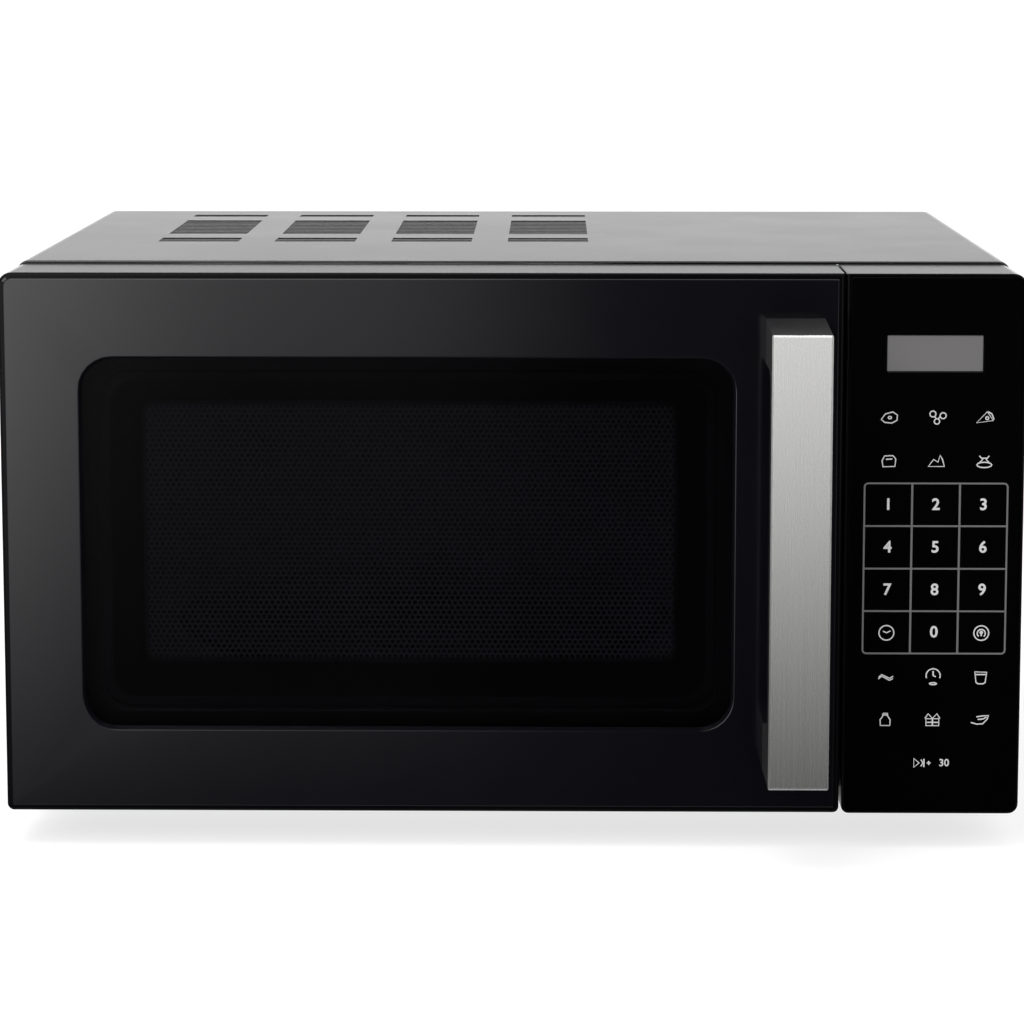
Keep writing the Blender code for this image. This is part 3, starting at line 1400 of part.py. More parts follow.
def fan():
    """The cooling fan at the back: shroud, motor and bladed wheel."""
    half = FAN_SHROUD / 2
    back = Y_REAR - SHEET - GAP
    front = back - FAN_DEPTH
    web = 3 * mm
    shroud = block(
        "fan_shroud", (X_FAN - half, front, Z_FAN - half), (X_FAN + half, back, Z_FAN + half), MATT_BLACK
    )
    bore_start = (X_FAN, front + web, Z_FAN)
    bore = cylinder("fan_bore_cutter", "y", bore_start, FAN_DEPTH, FAN_RADIUS + 2 * mm, None, 32)
    openings = []
    for a in (-1, 1):
        for b in (-1, 1):
            xs = sorted((X_FAN + a * 8 * mm, X_FAN + a * 34 * mm))
            zs = sorted((Z_FAN + b * 8 * mm, Z_FAN + b * 34 * mm))
            openings.append(((xs[0], front - 5 * mm, zs[0]), (xs[1], front + 5 * mm, zs[1])))
    shaft_start = (X_FAN, front - 5 * mm, Z_FAN)
    hole = cylinder("fan_shaft_cutter", "y", shaft_start, 12 * mm, FAN_SHAFT + 1 * mm, None, 12)
    cut(shroud, bore, blocks("fan_web_cutter", openings), hole)

    motor_back = front - GAP
    motor = block(
        "fan_motor",
        (X_FAN - 26 * mm, motor_back - 24 * mm, Z_FAN - 20 * mm),
        (X_FAN + 26 * mm, motor_back, Z_FAN + 20 * mm),
        GALVANISED,
    )
    bearing = 16 * mm
    socket = (X_FAN, motor_back - bearing, Z_FAN)
    cut(motor, cylinder("fan_bearing_cutter", "y", socket, bearing + 5 * mm, FAN_SHAFT + GAP, None, 12))

    start = motor_back - bearing + GAP
    wheel_front = front + web + 4 * mm
    wheel = 18 * mm
    profile = [
        (0, wheel_front - start + wheel),
        (FAN_HUB - 1 * mm, wheel_front - start + wheel),
        (FAN_HUB, wheel_front - start + wheel - 1 * mm),
        (FAN_HUB, wheel_front - start),
        (FAN_SHAFT, wheel_front - start),
        (FAN_SHAFT, 0),
        (0, 0),
    ]
    blade = turned("fan_blade", profile, (X_FAN, start, Z_FAN), MATT_BLACK, 24, "y")
    middle = wheel_front - start + wheel / 2
    vanes = spokes(
        "fan_vanes", FAN_BLADES, FAN_HUB * 0.9, FAN_RADIUS, 15 * mm, middle - 0.8 * mm, middle + 0.8 * mm,
        (X_FAN, start, Z_FAN), 0.0, math.radians(32), "y",
    )
    join(blade, vanes)


def lamp():
    """The cavity's lamp, behind the small holes in the right wall."""
    y, z = Y_PLATE + LAMP_SETBACK, Z_CAVITY_T - LAMP_DROP
    x = X_WALL + 12 * mm
    block(
        "lamp_holder",
        (x - 9 * mm, y - 26 * mm, z - 10 * mm),
        (x + 10 * mm, y - 14 * mm, z + 10 * mm),
        WHITE_PLASTIC,
    )
    start = y - 14 * mm + GAP
    profile = [(0, 24 * mm), (4 * mm, 23 * mm), (7.5 * mm, 18 * mm), (8 * mm, 13 * mm), (5 * mm, 4 * mm)]
    profile += [(4.5 * mm, 0), (0, 0)]
    turned("cavity_lamp", profile, (x, start, z), CLEAR_GLASS, 16, "y")


def latch_board():
    """The moulded board behind the front plate, with the switches beside the latch hooks."""
    front = Y_PLATE + SHEET + GAP
    left, right = X_WALL + 3 * mm, X_LATCH + 20 * mm
    low, high = Z_HOOKS[0] - 22 * mm, Z_HOOKS[1] + 22 * mm
    board = pan(
        "latch_board", (left, front, low), (right, front + 12 * mm, high), 2 * mm, WHITE_PLASTIC, (("y", 1),)
    )
    cut(board, hook_slots("board_hook_cutter", front, LATCH_CLEAR))
    switch_x = X_LATCH + LATCH_THICK / 2 + LATCH_CLEAR + 1 * mm
    for name, z in (("door_switch_lower", Z_HOOKS[0]), ("door_switch_upper", Z_HOOKS[1])):
        block(
            name,
            (switch_x, front + 2 * mm + GAP, z - 13 * mm),
            (right - 2 * mm - GAP, front + 22 * mm, z + 13 * mm),
            MATT_BLACK,
        )


# ---------------------------------------------------------------- build
casing()
base()
feet()
back()
cover_screws()
front_plate()
cavity()
mica_cover()
hinge_brackets()
cable_gland()
door_pieces = [door_frame(), *door_window_pieces(), door_choke(), door_cover(), *handle()]
pivot((X_HINGE, Y_HINGE, Z_BASE), *door_pieces)
latch()
latch_spring()
control_panel()
turntable()
waveguide_and_magnetron()
transformer()
capacitor()
fan()
lamp()
latch_board()

for piece in OVEN.objects:
    if piece.type == "MESH":
        piece.data.set_sharp_from_angle(angle=math.radians(35))
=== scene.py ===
"""Looks of the countertop microwave oven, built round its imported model.

Metres, +Z up. The door faces -Y, its hinges are at -X and the control panel is at +X.
"""

import json
import math

import bmesh
import bpy
from mathutils import Matrix, Vector


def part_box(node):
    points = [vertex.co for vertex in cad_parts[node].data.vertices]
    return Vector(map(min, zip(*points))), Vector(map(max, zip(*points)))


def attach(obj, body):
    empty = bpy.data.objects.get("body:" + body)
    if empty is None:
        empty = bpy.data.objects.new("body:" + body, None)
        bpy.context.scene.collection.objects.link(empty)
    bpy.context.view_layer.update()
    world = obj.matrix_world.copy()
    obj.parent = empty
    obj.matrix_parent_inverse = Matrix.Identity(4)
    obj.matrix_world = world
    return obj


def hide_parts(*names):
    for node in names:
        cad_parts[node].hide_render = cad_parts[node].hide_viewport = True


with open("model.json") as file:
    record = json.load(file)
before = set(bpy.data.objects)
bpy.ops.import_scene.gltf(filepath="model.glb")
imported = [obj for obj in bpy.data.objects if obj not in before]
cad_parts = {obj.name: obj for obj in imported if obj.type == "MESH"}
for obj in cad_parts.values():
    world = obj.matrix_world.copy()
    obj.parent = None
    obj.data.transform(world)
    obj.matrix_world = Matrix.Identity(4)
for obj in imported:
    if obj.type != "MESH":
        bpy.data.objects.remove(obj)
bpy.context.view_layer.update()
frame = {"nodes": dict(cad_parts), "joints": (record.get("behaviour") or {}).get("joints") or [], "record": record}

mm = 0.001
NODES = frame["nodes"]
RECORD = frame["record"]
BODY_OF = {node: body for body, names in RECORD["behaviour"]["bodies"].items() for node in names}
SLOT_OF = {part["node"]: part["material_slot"] for part in RECORD["subparts"]}

DOOR_LOW, DOOR_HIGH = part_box("door_frame")
PANEL_LOW, PANEL_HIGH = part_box("control_panel_frame")
GLASS_LOW, GLASS_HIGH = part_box("door_glass")
Y_FACE = DOOR_LOW[1]
WINDOW_LAP = 8 * mm  # glass behind the edge of the window opening
WINDOW = (
    GLASS_LOW[0] + WINDOW_LAP, GLASS_LOW[2] + WINDOW_LAP,
    GLASS_HIGH[0] - WINDOW_LAP, GLASS_HIGH[2] - WINDOW_LAP,
)
WINDOW_ROUND = 15 * mm


# ---------------------------------------------------------------- shader groups
NUMBER, WHOLE, PAINT = "NodeSocketFloat", "NodeSocketInt", "NodeSocketMaterial"


def new_group(name, inputs, outputs):
    """An empty shader node group. inputs and outputs hold (name, socket type, value)."""
    tree = bpy.data.node_groups.new(name, "ShaderNodeTree")
    for in_out, sockets in (("INPUT", inputs), ("OUTPUT", outputs)):
        for label, kind, value in sockets:
            socket = tree.interface.new_socket(label, in_out=in_out, socket_type=kind)
            if value is not None:
                socket.default_value = value
    return tree, tree.nodes.new("NodeGroupInput"), tree.nodes.new("NodeGroupOutput")


def add(tree, kind, values=(), **settings):
    """A node with its settings, and its inputs set from (socket, value or output)."""
    node = tree.nodes.new(kind)
    for key, value in settings.items():
        setattr(node, key, value)
    for socket, value in values:
        if isinstance(value, bpy.types.NodeSocket):
            tree.links.new(value, node.inputs[socket])
        else:
            node.inputs[socket].default_value = value
    return node


def sums(tree, operation, first, second):
    """One step of arithmetic on two numbers or outputs."""
    return add(tree, "ShaderNodeMath", [(0, first), (1, second)], operation=operation).outputs[0]


def spread(tree, value, low, high, to_low=0.0, to_high=1.0):
    """value from low to high, spread smoothly over another range and held at its ends."""
    values = [("Value", value), ("From Min", low), ("From Max", high), ("To Min", to_low), ("To Max", to_high)]
    return add(tree, "ShaderNodeMapRange", values, interpolation_type="SMOOTHSTEP").outputs[0]


def fine_grain():
    """The tiny pits of a moulded or painted skin: their height, and a slow mottling from 0 to 1."""
    tree, given, made = new_group(
        "fine_grain", [("Scale", NUMBER, 2500.0)], [("Height", NUMBER, None), ("Mottle", NUMBER, None)]
    )
    place = add(tree, "ShaderNodeTexCoord").outputs["Object"]
    pits = add(tree, "ShaderNodeTexNoise", [("Vector", place), ("Scale", given.outputs["Scale"]), ("Detail", 2.0)])
    slow = add(tree, "ShaderNodeTexNoise", [("Vector", place), ("Scale", 14.0), ("Detail", 4.0), ("Roughness", 0.6)])
    tree.links.new(pits.outputs["Fac"], made.inputs["Height"])
    tree.links.new(spread(tree, slow.outputs["Fac"], 0.3, 0.7), made.inputs["Mottle"])
    return tree


def brushing():
    """Long fine scratches along one axis. Stretch shortens the pattern along the axes across it."""
    tree, given, made = new_group(
        "brushing", [("Stretch", "NodeSocketVector", (1.0, 1.0, 1.0))],
        [("Height", NUMBER, None), ("Tone", NUMBER, None)],
    )
    place = add(tree, "ShaderNodeTexCoord").outputs["Object"]
    stretch = [(0, place), (1, given.outputs["Stretch"])]
    drawn = add(tree, "ShaderNodeVectorMath", stretch, operation="MULTIPLY").outputs[0]
    fine = add(tree, "ShaderNodeTexNoise", [("Vector", drawn), ("Scale", 1.0), ("Detail", 3.0), ("Roughness", 0.7)])
    wide = add(tree, "ShaderNodeTexNoise", [("Vector", drawn), ("Scale", 0.22), ("Detail", 2.0)])
    tree.links.new(fine.outputs["Fac"], made.inputs["Height"])
    tree.links.new(spread(tree, wide.outputs["Fac"], 0.3, 0.7), made.inputs["Tone"])
    return tree


def worn_edges():
    """1 on sharp outer edges, broken up by noise, and 0 elsewhere."""
    tree, given, made = new_group("worn_edges", [("Amount", NUMBER, 0.5)], [("Mask", NUMBER, None)])
    edge = spread(tree, add(tree, "ShaderNodeNewGeometry").outputs["Pointiness"], 0.52, 0.6)
    place = add(tree, "ShaderNodeTexCoord").outputs["Object"]
    patchy = add(tree, "ShaderNodeTexNoise", [("Vector", place), ("Scale", 180.0), ("Detail", 3.0)]).outputs["Fac"]
    broken = sums(tree, "MULTIPLY", edge, spread(tree, patchy, 0.4, 0.65))
    tree.links.new(sums(tree, "MULTIPLY", broken, given.outputs["Amount"]), made.inputs["Mask"])
    return tree


def settled_dust():
    """A faint film where a surface looks up."""
    tree, given, made = new_group("settled_dust", [("Amount", NUMBER, 0.1)], [("Mask", NUMBER, None)])
    normal = add(tree, "ShaderNodeNewGeometry").outputs["Normal"]
    up = add(tree, "ShaderNodeSeparateXYZ", [(0, normal)]).outputs["Z"]
    place = add(tree, "ShaderNodeTexCoord").outputs["Object"]
    film = add(tree, "ShaderNodeTexNoise", [("Vector", place), ("Scale", 35.0), ("Detail", 5.0)]).outputs["Fac"]
    lying = sums(tree, "MULTIPLY", spread(tree, up, 0.6, 1.0), spread(tree, film, 0.35, 0.75))
    tree.links.new(sums(tree, "MULTIPLY", lying, given.outputs["Amount"]), made.inputs["Mask"])
    return tree


GRAIN = fine_grain()
BRUSHING = brushing()
WEAR = worn_edges()
DUST = settled_dust()


def group(tree, which, values):
    """One of the shader groups, with its own values."""
    node = tree.nodes.new("ShaderNodeGroup")
    node.node_tree = which
    for socket, value in values:
        node.inputs[socket].default_value = value
    return node


def blend_colour(tree, share, first, second):
    """The first colour going over to the second as share goes from 0 to 1."""
    mix = tree.nodes.new("ShaderNodeMix")
    mix.data_type = "RGBA"
    colours = [socket for socket in mix.inputs if socket.type == "RGBA"]
    for socket, value in ((mix.inputs["Factor"], share), (colours[0], first), (colours[1], second)):
        if isinstance(value, bpy.types.NodeSocket):
            tree.links.new(value, socket)
        else:
            socket.default_value = value
    return next(socket for socket in mix.outputs if socket.type == "RGBA")


def rgba(colour):
    return (*colour, 1.0)


DUST_COLOUR = (0.4, 0.39, 0.37)
GRAIN_HEIGHT = 0.05 * mm
CLEAR_GRAIN = 900.0


def finish(
    name, colour, roughness, metallic=0.0, grain=2500.0, depth=0.02, mottle=0.05, second=None,
    wear=0.0, bare=(0.4, 0.4, 0.4), dust=0.0, brushed=None, fixed=(),
):
    """A material: colour with a slow mottle, grain or brushing in its surface, worn edges and dust.

    mottle is how far roughness wanders. fixed holds (socket, value) for the shader itself.
    """
    made = bpy.data.materials.new(name)
    made.use_nodes = True
    tree = made.node_tree
    shader = tree.nodes["Principled BSDF"]
    skin = group(tree, GRAIN, [("Scale", grain)])
    tone = skin.outputs["Mottle"]
    height = skin.outputs["Height"]
    if brushed:
        strokes = group(tree, BRUSHING, [("Stretch", brushed)])
        tone, height = strokes.outputs["Tone"], strokes.outputs["Height"]
    shade = blend_colour(tree, tone, rgba(colour), rgba(second or [c * 0.9 for c in colour]))
    if wear:
        shade = blend_colour(tree, group(tree, WEAR, [("Amount", wear)]).outputs[0], shade, rgba(bare))
    if dust:
        shade = blend_colour(tree, group(tree, DUST, [("Amount", dust)]).outputs[0], shade, rgba(DUST_COLOUR))
    tree.links.new(shade, shader.inputs["Base Color"])
    rough = spread(tree, tone, 0.0, 1.0, roughness - mottle / 2, roughness + mottle / 2)
    tree.links.new(rough, shader.inputs["Roughness"])
    shader.inputs["Metallic"].default_value = metallic
    bump = add(tree, "ShaderNodeBump", [("Height", height), ("Strength", depth), ("Distance", GRAIN_HEIGHT)])
    tree.links.new(bump.outputs[0], shader.inputs["Normal"])
    for socket, value in fixed:
        shader.inputs[socket].default_value = value
    made.diffuse_color = rgba(colour)
    return made


def clear_finish(name, tint, roughness, ior):
    """Glass or clear plastic."""
    made = bpy.data.materials.new(name)
    made.use_nodes = True
    tree = made.node_tree
    shader = tree.nodes["Principled BSDF"]
    skin = group(tree, GRAIN, [("Scale", CLEAR_GRAIN)])
    shade = blend_colour(tree, skin.outputs["Mottle"], rgba(tint), rgba([c * 0.97 for c in tint]))
    tree.links.new(shade, shader.inputs["Base Color"])
    smear = spread(tree, skin.outputs["Mottle"], 0.0, 1.0, roughness, roughness + 0.02)
    tree.links.new(smear, shader.inputs["Roughness"])
    shader.inputs["Transmission Weight"].default_value = 1.0
    shader.inputs["IOR"].default_value = ior
    made.diffuse_color = rgba(tint)
    return made


# The colour, the roughness and the rest of every finish.
LOOKS = {
    "black_paint": dict(
        colour=(0.011, 0.011, 0.012), roughness=0.19, grain=1400.0, depth=0.03, mottle=0.012,
        second=(0.014, 0.014, 0.014), wear=0.02, bare=(0.08, 0.08, 0.08), dust=0.01,
    ),
    "grey_enamel": dict(
        colour=(0.42, 0.43, 0.44), roughness=0.32, grain=1100.0, depth=0.08, mottle=0.08,
        second=(0.36, 0.37, 0.38), wear=0.15,
    ),
    "galvanised_steel": dict(
        colour=(0.50, 0.51, 0.53), roughness=0.42, metallic=0.9, grain=220.0, depth=0.06, mottle=0.16,
        second=(0.38, 0.39, 0.41), dust=0.15,
    ),
    # The rims' and roundings' finish: a darker, barely reflective copy of the gloss black plastic, painted shade
    # that keeps their edges dark.
    "edge_gloss": dict(
        colour=(0.0015, 0.0015, 0.002), roughness=0.14, grain=700.0, depth=0.004, mottle=0.01,
        second=(0.0019, 0.0019, 0.0024), fixed=(("Specular IOR Level", 0.08),),
    ),
    "gloss_black_plastic": dict(
        colour=(0.0026, 0.0025, 0.0039), roughness=0.10, grain=700.0, depth=0.004, mottle=0.01,
        second=(0.0030, 0.0029, 0.0043), wear=0.04, bare=(0.05, 0.05, 0.055),
    ),
    "panel_gloss": dict(
        colour=(0.0004, 0.0004, 0.0004), roughness=0.07, grain=700.0, depth=0.003, mottle=0.01,
        second=(0.0006, 0.0006, 0.0006), fixed=(("Specular IOR Level", 0.3),),
    ),
    "matt_black_plastic": dict(
        colour=(0.009, 0.009, 0.010), roughness=0.46, grain=3200.0, depth=0.22, mottle=0.08,
        second=(0.014, 0.014, 0.015), wear=0.12, bare=(0.05, 0.05, 0.05), dust=0.02,
        fixed=(("Specular IOR Level", 0.38),),
    ),
    "brushed_aluminium": dict(
        colour=(0.72, 0.72, 0.71), roughness=0.27, metallic=1.0, depth=0.05, mottle=0.03,
        second=(0.69, 0.69, 0.68), brushed=(9000.0, 9000.0, 22.0), fixed=(("Anisotropic", 1.0),),
    ),
    "display_grey": dict(
        colour=(0.112, 0.108, 0.110), roughness=0.35, grain=900.0, depth=0.01, mottle=0.02,
        second=(0.118, 0.114, 0.116),
    ),
    "white_plastic": dict(
        colour=(0.66, 0.65, 0.61), roughness=0.42, grain=1800.0, depth=0.08, mottle=0.08,
        second=(0.60, 0.59, 0.55),
    ),
    "copper_winding": dict(
        colour=(0.42, 0.16, 0.06), roughness=0.33, metallic=0.85, depth=1.0, mottle=0.1,
        second=(0.30, 0.11, 0.04), brushed=(60.0, 60.0, 1900.0),
    ),
    "mica": dict(
        colour=(0.50, 0.44, 0.34), roughness=0.5, grain=320.0, depth=0.15, mottle=0.15, second=(0.62, 0.57, 0.47),
    ),
    "circuit_board": dict(
        colour=(0.02, 0.12, 0.05), roughness=0.4, grain=500.0, depth=0.05, mottle=0.1, second=(0.03, 0.17, 0.07),
    ),
    "spring_steel": dict(
        colour=(0.55, 0.55, 0.56), roughness=0.28, metallic=1.0, depth=0.2, mottle=0.08,
        brushed=(900.0, 900.0, 900.0),
    ),
    "rubber": dict(
        colour=(0.016, 0.016, 0.016), roughness=0.72, grain=2200.0, depth=0.25, mottle=0.1,
        second=(0.022, 0.022, 0.022), dust=0.1,
    ),
    "white_ink": dict(
        colour=(0.52, 0.52, 0.52), roughness=0.5, grain=2600.0, depth=0.02, second=(0.46, 0.46, 0.46),
    ),
    "grey_ink": dict(
        colour=(0.105, 0.105, 0.105), roughness=0.5, grain=2600.0, depth=0.02, second=(0.092, 0.092, 0.092),
    ),
    # The screen surround's finish: a much darker copy of the screen's own paint, painted shade on the same steel as
    # the lighter field.
    "surround_paint": dict(
        colour=(0.018, 0.018, 0.020), roughness=0.34, grain=1600.0, depth=0.06, mottle=0.06,
        second=(0.024, 0.024, 0.026),
    ),
    "screen_paint": dict(
        colour=(0.20, 0.20, 0.215), roughness=0.38, grain=1600.0, depth=0.06, mottle=0.06,
        second=(0.17, 0.17, 0.18),
    ),
}
# The tint, the roughness and the refraction of every clear finish.
CLEAR_LOOKS = {
    "smoked_glass": dict(tint=(0.14, 0.137, 0.155), roughness=0.02, ior=1.12),
    "clear_glass": dict(tint=(0.93, 0.965, 0.95), roughness=0.015, ior=1.5),
    "clear_plastic": dict(tint=(0.93, 0.93, 0.93), roughness=0.05, ior=1.45),
}
FINISHES = {name: finish(name, **look) for name, look in LOOKS.items()}
FINISHES.update({name: clear_finish(name, **look) for name, look in CLEAR_LOOKS.items()})


# ---------------------------------------------------------------- making pieces
def placed(name, data):
    """An object that holds this data."""
    made = bpy.data.objects.new(name, data)
    bpy.context.scene.collection.objects.link(made)
    return made


def evaluated(obj):
    """The mesh of obj with its modifiers applied."""
    bpy.context.view_layer.update()
    return bpy.data.meshes.new_from_object(obj.evaluated_get(bpy.context.evaluated_depsgraph_get()))


def applied(holder):
    """The mesh of holder with its modifiers applied, in place of holder."""
    made = evaluated(holder)
    bpy.data.objects.remove(holder, do_unlink=True)
    return made


def flattened(mesh):
    """The mesh with its broad faces shaded flat and its narrow roundings smooth between them."""
    holder = placed(mesh.name, mesh)
    step = holder.modifiers.new("normals", "WEIGHTED_NORMAL")
    step.mode, step.weight, step.keep_sharp = "FACE_AREA", 50, True
    return applied(holder)


def new_piece(name, mesh, paint, body, stands_for=()):
    """Puts a finished mesh on a body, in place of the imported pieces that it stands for."""
    mesh = flattened(mesh)
    mesh.name = name
    made = placed(name, mesh)
    mesh.materials.clear()
    mesh.materials.append(FINISHES[paint])
    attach(made, body)
    if stands_for:
        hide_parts(*stands_for)
    return made


def smooth(mesh, degrees=32):
    """Smooth shading, but sharp at edges that turn more than degrees."""
    mesh.shade_smooth()
    mesh.set_sharp_from_angle(angle=math.radians(degrees))


def mesh_from(bm, name, degrees=32):
    """The mesh that bm holds, smoothed."""
    mesh = bpy.data.meshes.new(name)
    bm.to_mesh(mesh)
    bm.free()
    smooth(mesh, degrees)
    return mesh


def bevelled(mesh, name, width, segments=2, degrees=32, cutters=()):
    """The mesh with cutters taken away and its sharp edges rounded."""
    holder = placed(name, mesh)
    helpers = []
    for number, cutter in enumerate(cutters):
        helper = placed(f"{name}_cutter_{number}", cutter)
        step = holder.modifiers.new(helper.name, "BOOLEAN")
        step.object, step.operation, step.solver = helper, "DIFFERENCE", "EXACT"
        helpers.append(helper)
    if width:
        step = holder.modifiers.new("bevel", "BEVEL")
        step.width, step.segments = width, segments
        step.limit_method, step.angle_limit = "ANGLE", math.radians(degrees)
        step.use_clamp_overlap = True
        step.harden_normals = False
        step.miter_outer = "MITER_ARC"
    made = evaluated(holder)
    for leftover in (holder, *helpers):
        bpy.data.objects.remove(leftover, do_unlink=True)
    made.name = name
    smooth(made, 48)
    return made


def packed_mesh(node):
    """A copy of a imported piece's mesh, with its loose triangles joined."""
    bm = bmesh.new()
    bm.from_mesh(NODES[node].data)
    bmesh.ops.remove_doubles(bm, verts=bm.verts, dist=0.002 * mm)
    mesh = bpy.data.meshes.new(node)
    bm.to_mesh(mesh)
    bm.free()
    return mesh


def eased(node, width=0.3 * mm, paint=None, name=None, degrees=32, segments=2):
    """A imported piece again, with its edges eased."""
    mesh = bevelled(packed_mesh(node), name or node + "_eased", width, segments, degrees)
    paint = paint or SLOT_OF[node]
    return new_piece(name or node + "_eased", mesh, paint, BODY_OF[node], (node,))


def outline(low_x, low_z, high_x, high_z, corners, steps=6):
    """Points round a rectangle seen from the front, anticlockwise from its top right.

    corners holds the radii at the top right, top left, bottom left and bottom right.
    """
    points = []
    places = ((high_x, high_z, -1, -1), (low_x, high_z, 1, -1), (low_x, low_z, 1, 1), (high_x, low_z, -1, 1))
    for quarter, ((x, z, to_x, to_z), radius) in enumerate(zip(places, corners)):
        for step in range(steps + 1):
            angle = (quarter + step / steps) * math.pi / 2
            turned = (radius * math.cos(angle), radius * math.sin(angle))
            points.append((x + to_x * radius + turned[0], z + to_z * radius + turned[1]))
    return points


def ring(box, inset, y, corners, extra=(0, 0, 0, 0)):
    """An outline pulled in from box, at the depth y. extra pulls its left, bottom, right and top in more."""
    low_x, low_z, high_x, high_z = box
    radii = [max(radius - inset, 0.15 * mm) for radius in corners]
    points = outline(
        low_x + inset + extra[0], low_z + inset + extra[1],
        high_x - inset - extra[2], high_z - inset - extra[3], radii,
    )
    return [(x, y, z) for x, z in points]


def loft(name, rings, closed=False, capped=True):
    """A skin through rings of points. Closed, its last ring meets its first."""
    bm = bmesh.new()
    loops = [[bm.verts.new(point) for point in points] for points in rings]
    pairs = list(zip(loops, loops[1:]))
    if closed:
        pairs.append((loops[-1], loops[0]))
    for first, second in pairs:
        for k in range(len(first)):
            n = (k + 1) % len(first)
            bm.faces.new((first[k], first[n], second[n], second[k]))
    if capped and not closed:
        bm.faces.new(loops[0])
        bm.faces.new(loops[-1])
    bmesh.ops.recalc_face_normals(bm, faces=bm.faces)
    return mesh_from(bm, name)


def box_mesh(name, low, high):
    bm = bmesh.new()
    low, high = Vector(low), Vector(high)
    place = Matrix.Translation((low + high) / 2) @ Matrix.Diagonal((*(high - low), 1))
    bmesh.ops.create_cube(bm, size=1, matrix=place)
    return mesh_from(bm, name)


def lathe(name, profile, place, steps=96, turn=None):
    """A profile of (radius, height) in mm turned about Z, then turned by a matrix and moved to place."""
    bm = bmesh.new()
    loops = []
    for radius, height in [(r * mm, h * mm) for r, h in profile]:
        if radius < 1e-7:
            loops.append([bm.verts.new((0, 0, height))])
        else:
            angles = [2 * math.pi * k / steps for k in range(steps)]
            loops.append([bm.verts.new((radius * math.cos(a), radius * math.sin(a), height)) for a in angles])
    for first, second in zip(loops, loops[1:]):
        for k in range(steps):
            n = (k + 1) % steps
            corners = []
            turn_of = ((first, k), (first, n), (second, n), (second, k))
            for vert in (loop[number % len(loop)] for loop, number in turn_of):
                if vert not in corners:
                    corners.append(vert)
            if len(corners) > 2:
                bm.faces.new(corners)
    bmesh.ops.recalc_face_normals(bm, faces=bm.faces)
    bm.transform(Matrix.Translation(place) @ (turn or Matrix.Identity(4)))
    return mesh_from(bm, name)


def joined(name, meshes, degrees=32):
    """Several meshes as one."""
    bm = bmesh.new()
    for mesh in meshes:
        bm.from_mesh(mesh)
    return mesh_from(bm, name, degrees)


# ---------------------------------------------------------------- door
ROUND_FRONT = 1.4 * mm  # rounding of the door's outer edge
ROUND_PANEL = 0.7 * mm
FACE_STEP = 0.45 * mm  # face proud of its rim
DOOR_BOX = (DOOR_LOW[0], DOOR_LOW[2], DOOR_HIGH[0], DOOR_HIGH[2])
DOOR_CORNERS = (0.5 * mm, 6 * mm, 3 * mm, 2.6 * mm)
DOOR_WALL = 2.5 * mm
FACE_THICK = 3 * mm


def front_rings(box, corners, y_back, round_off, y_rim):
    """The outer wall and its rounded front edge, up to a rim at the depth y_rim."""
    rings = [ring(box, 0.3 * mm, y_back, corners), ring(box, 0, y_back - 0.3 * mm, corners)]
    for step in range(7):
        angle = step * math.pi / 12
        inset = round_off * (1 - math.cos(angle))
        rings.append(ring(box, inset, y_rim + round_off * (1 - math.sin(angle)), corners))
    return rings


def window_ring(grow, depth, radius=WINDOW_ROUND):
    low_x, low_z, high_x, high_z = WINDOW
    box = (low_x - grow, low_z - grow, high_x + grow, high_z + grow)
    return ring(box, 0, Y_FACE + depth, [radius + grow] * 4)


def paint_rim_shade(piece, paint, box, width):
    """Gives a front's walls and outer edge, down to width inside box, a darker and less glossy finish: painted shade
    on the rim.
    """
    piece.data.materials.append(FINISHES[paint])
    for face in piece.data.polygons:
        x, z = face.center.x, face.center.z
        if not (box[0] + width < x < box[2] - width and box[1] + width < z < box[3] - width):
            face.material_index = 1


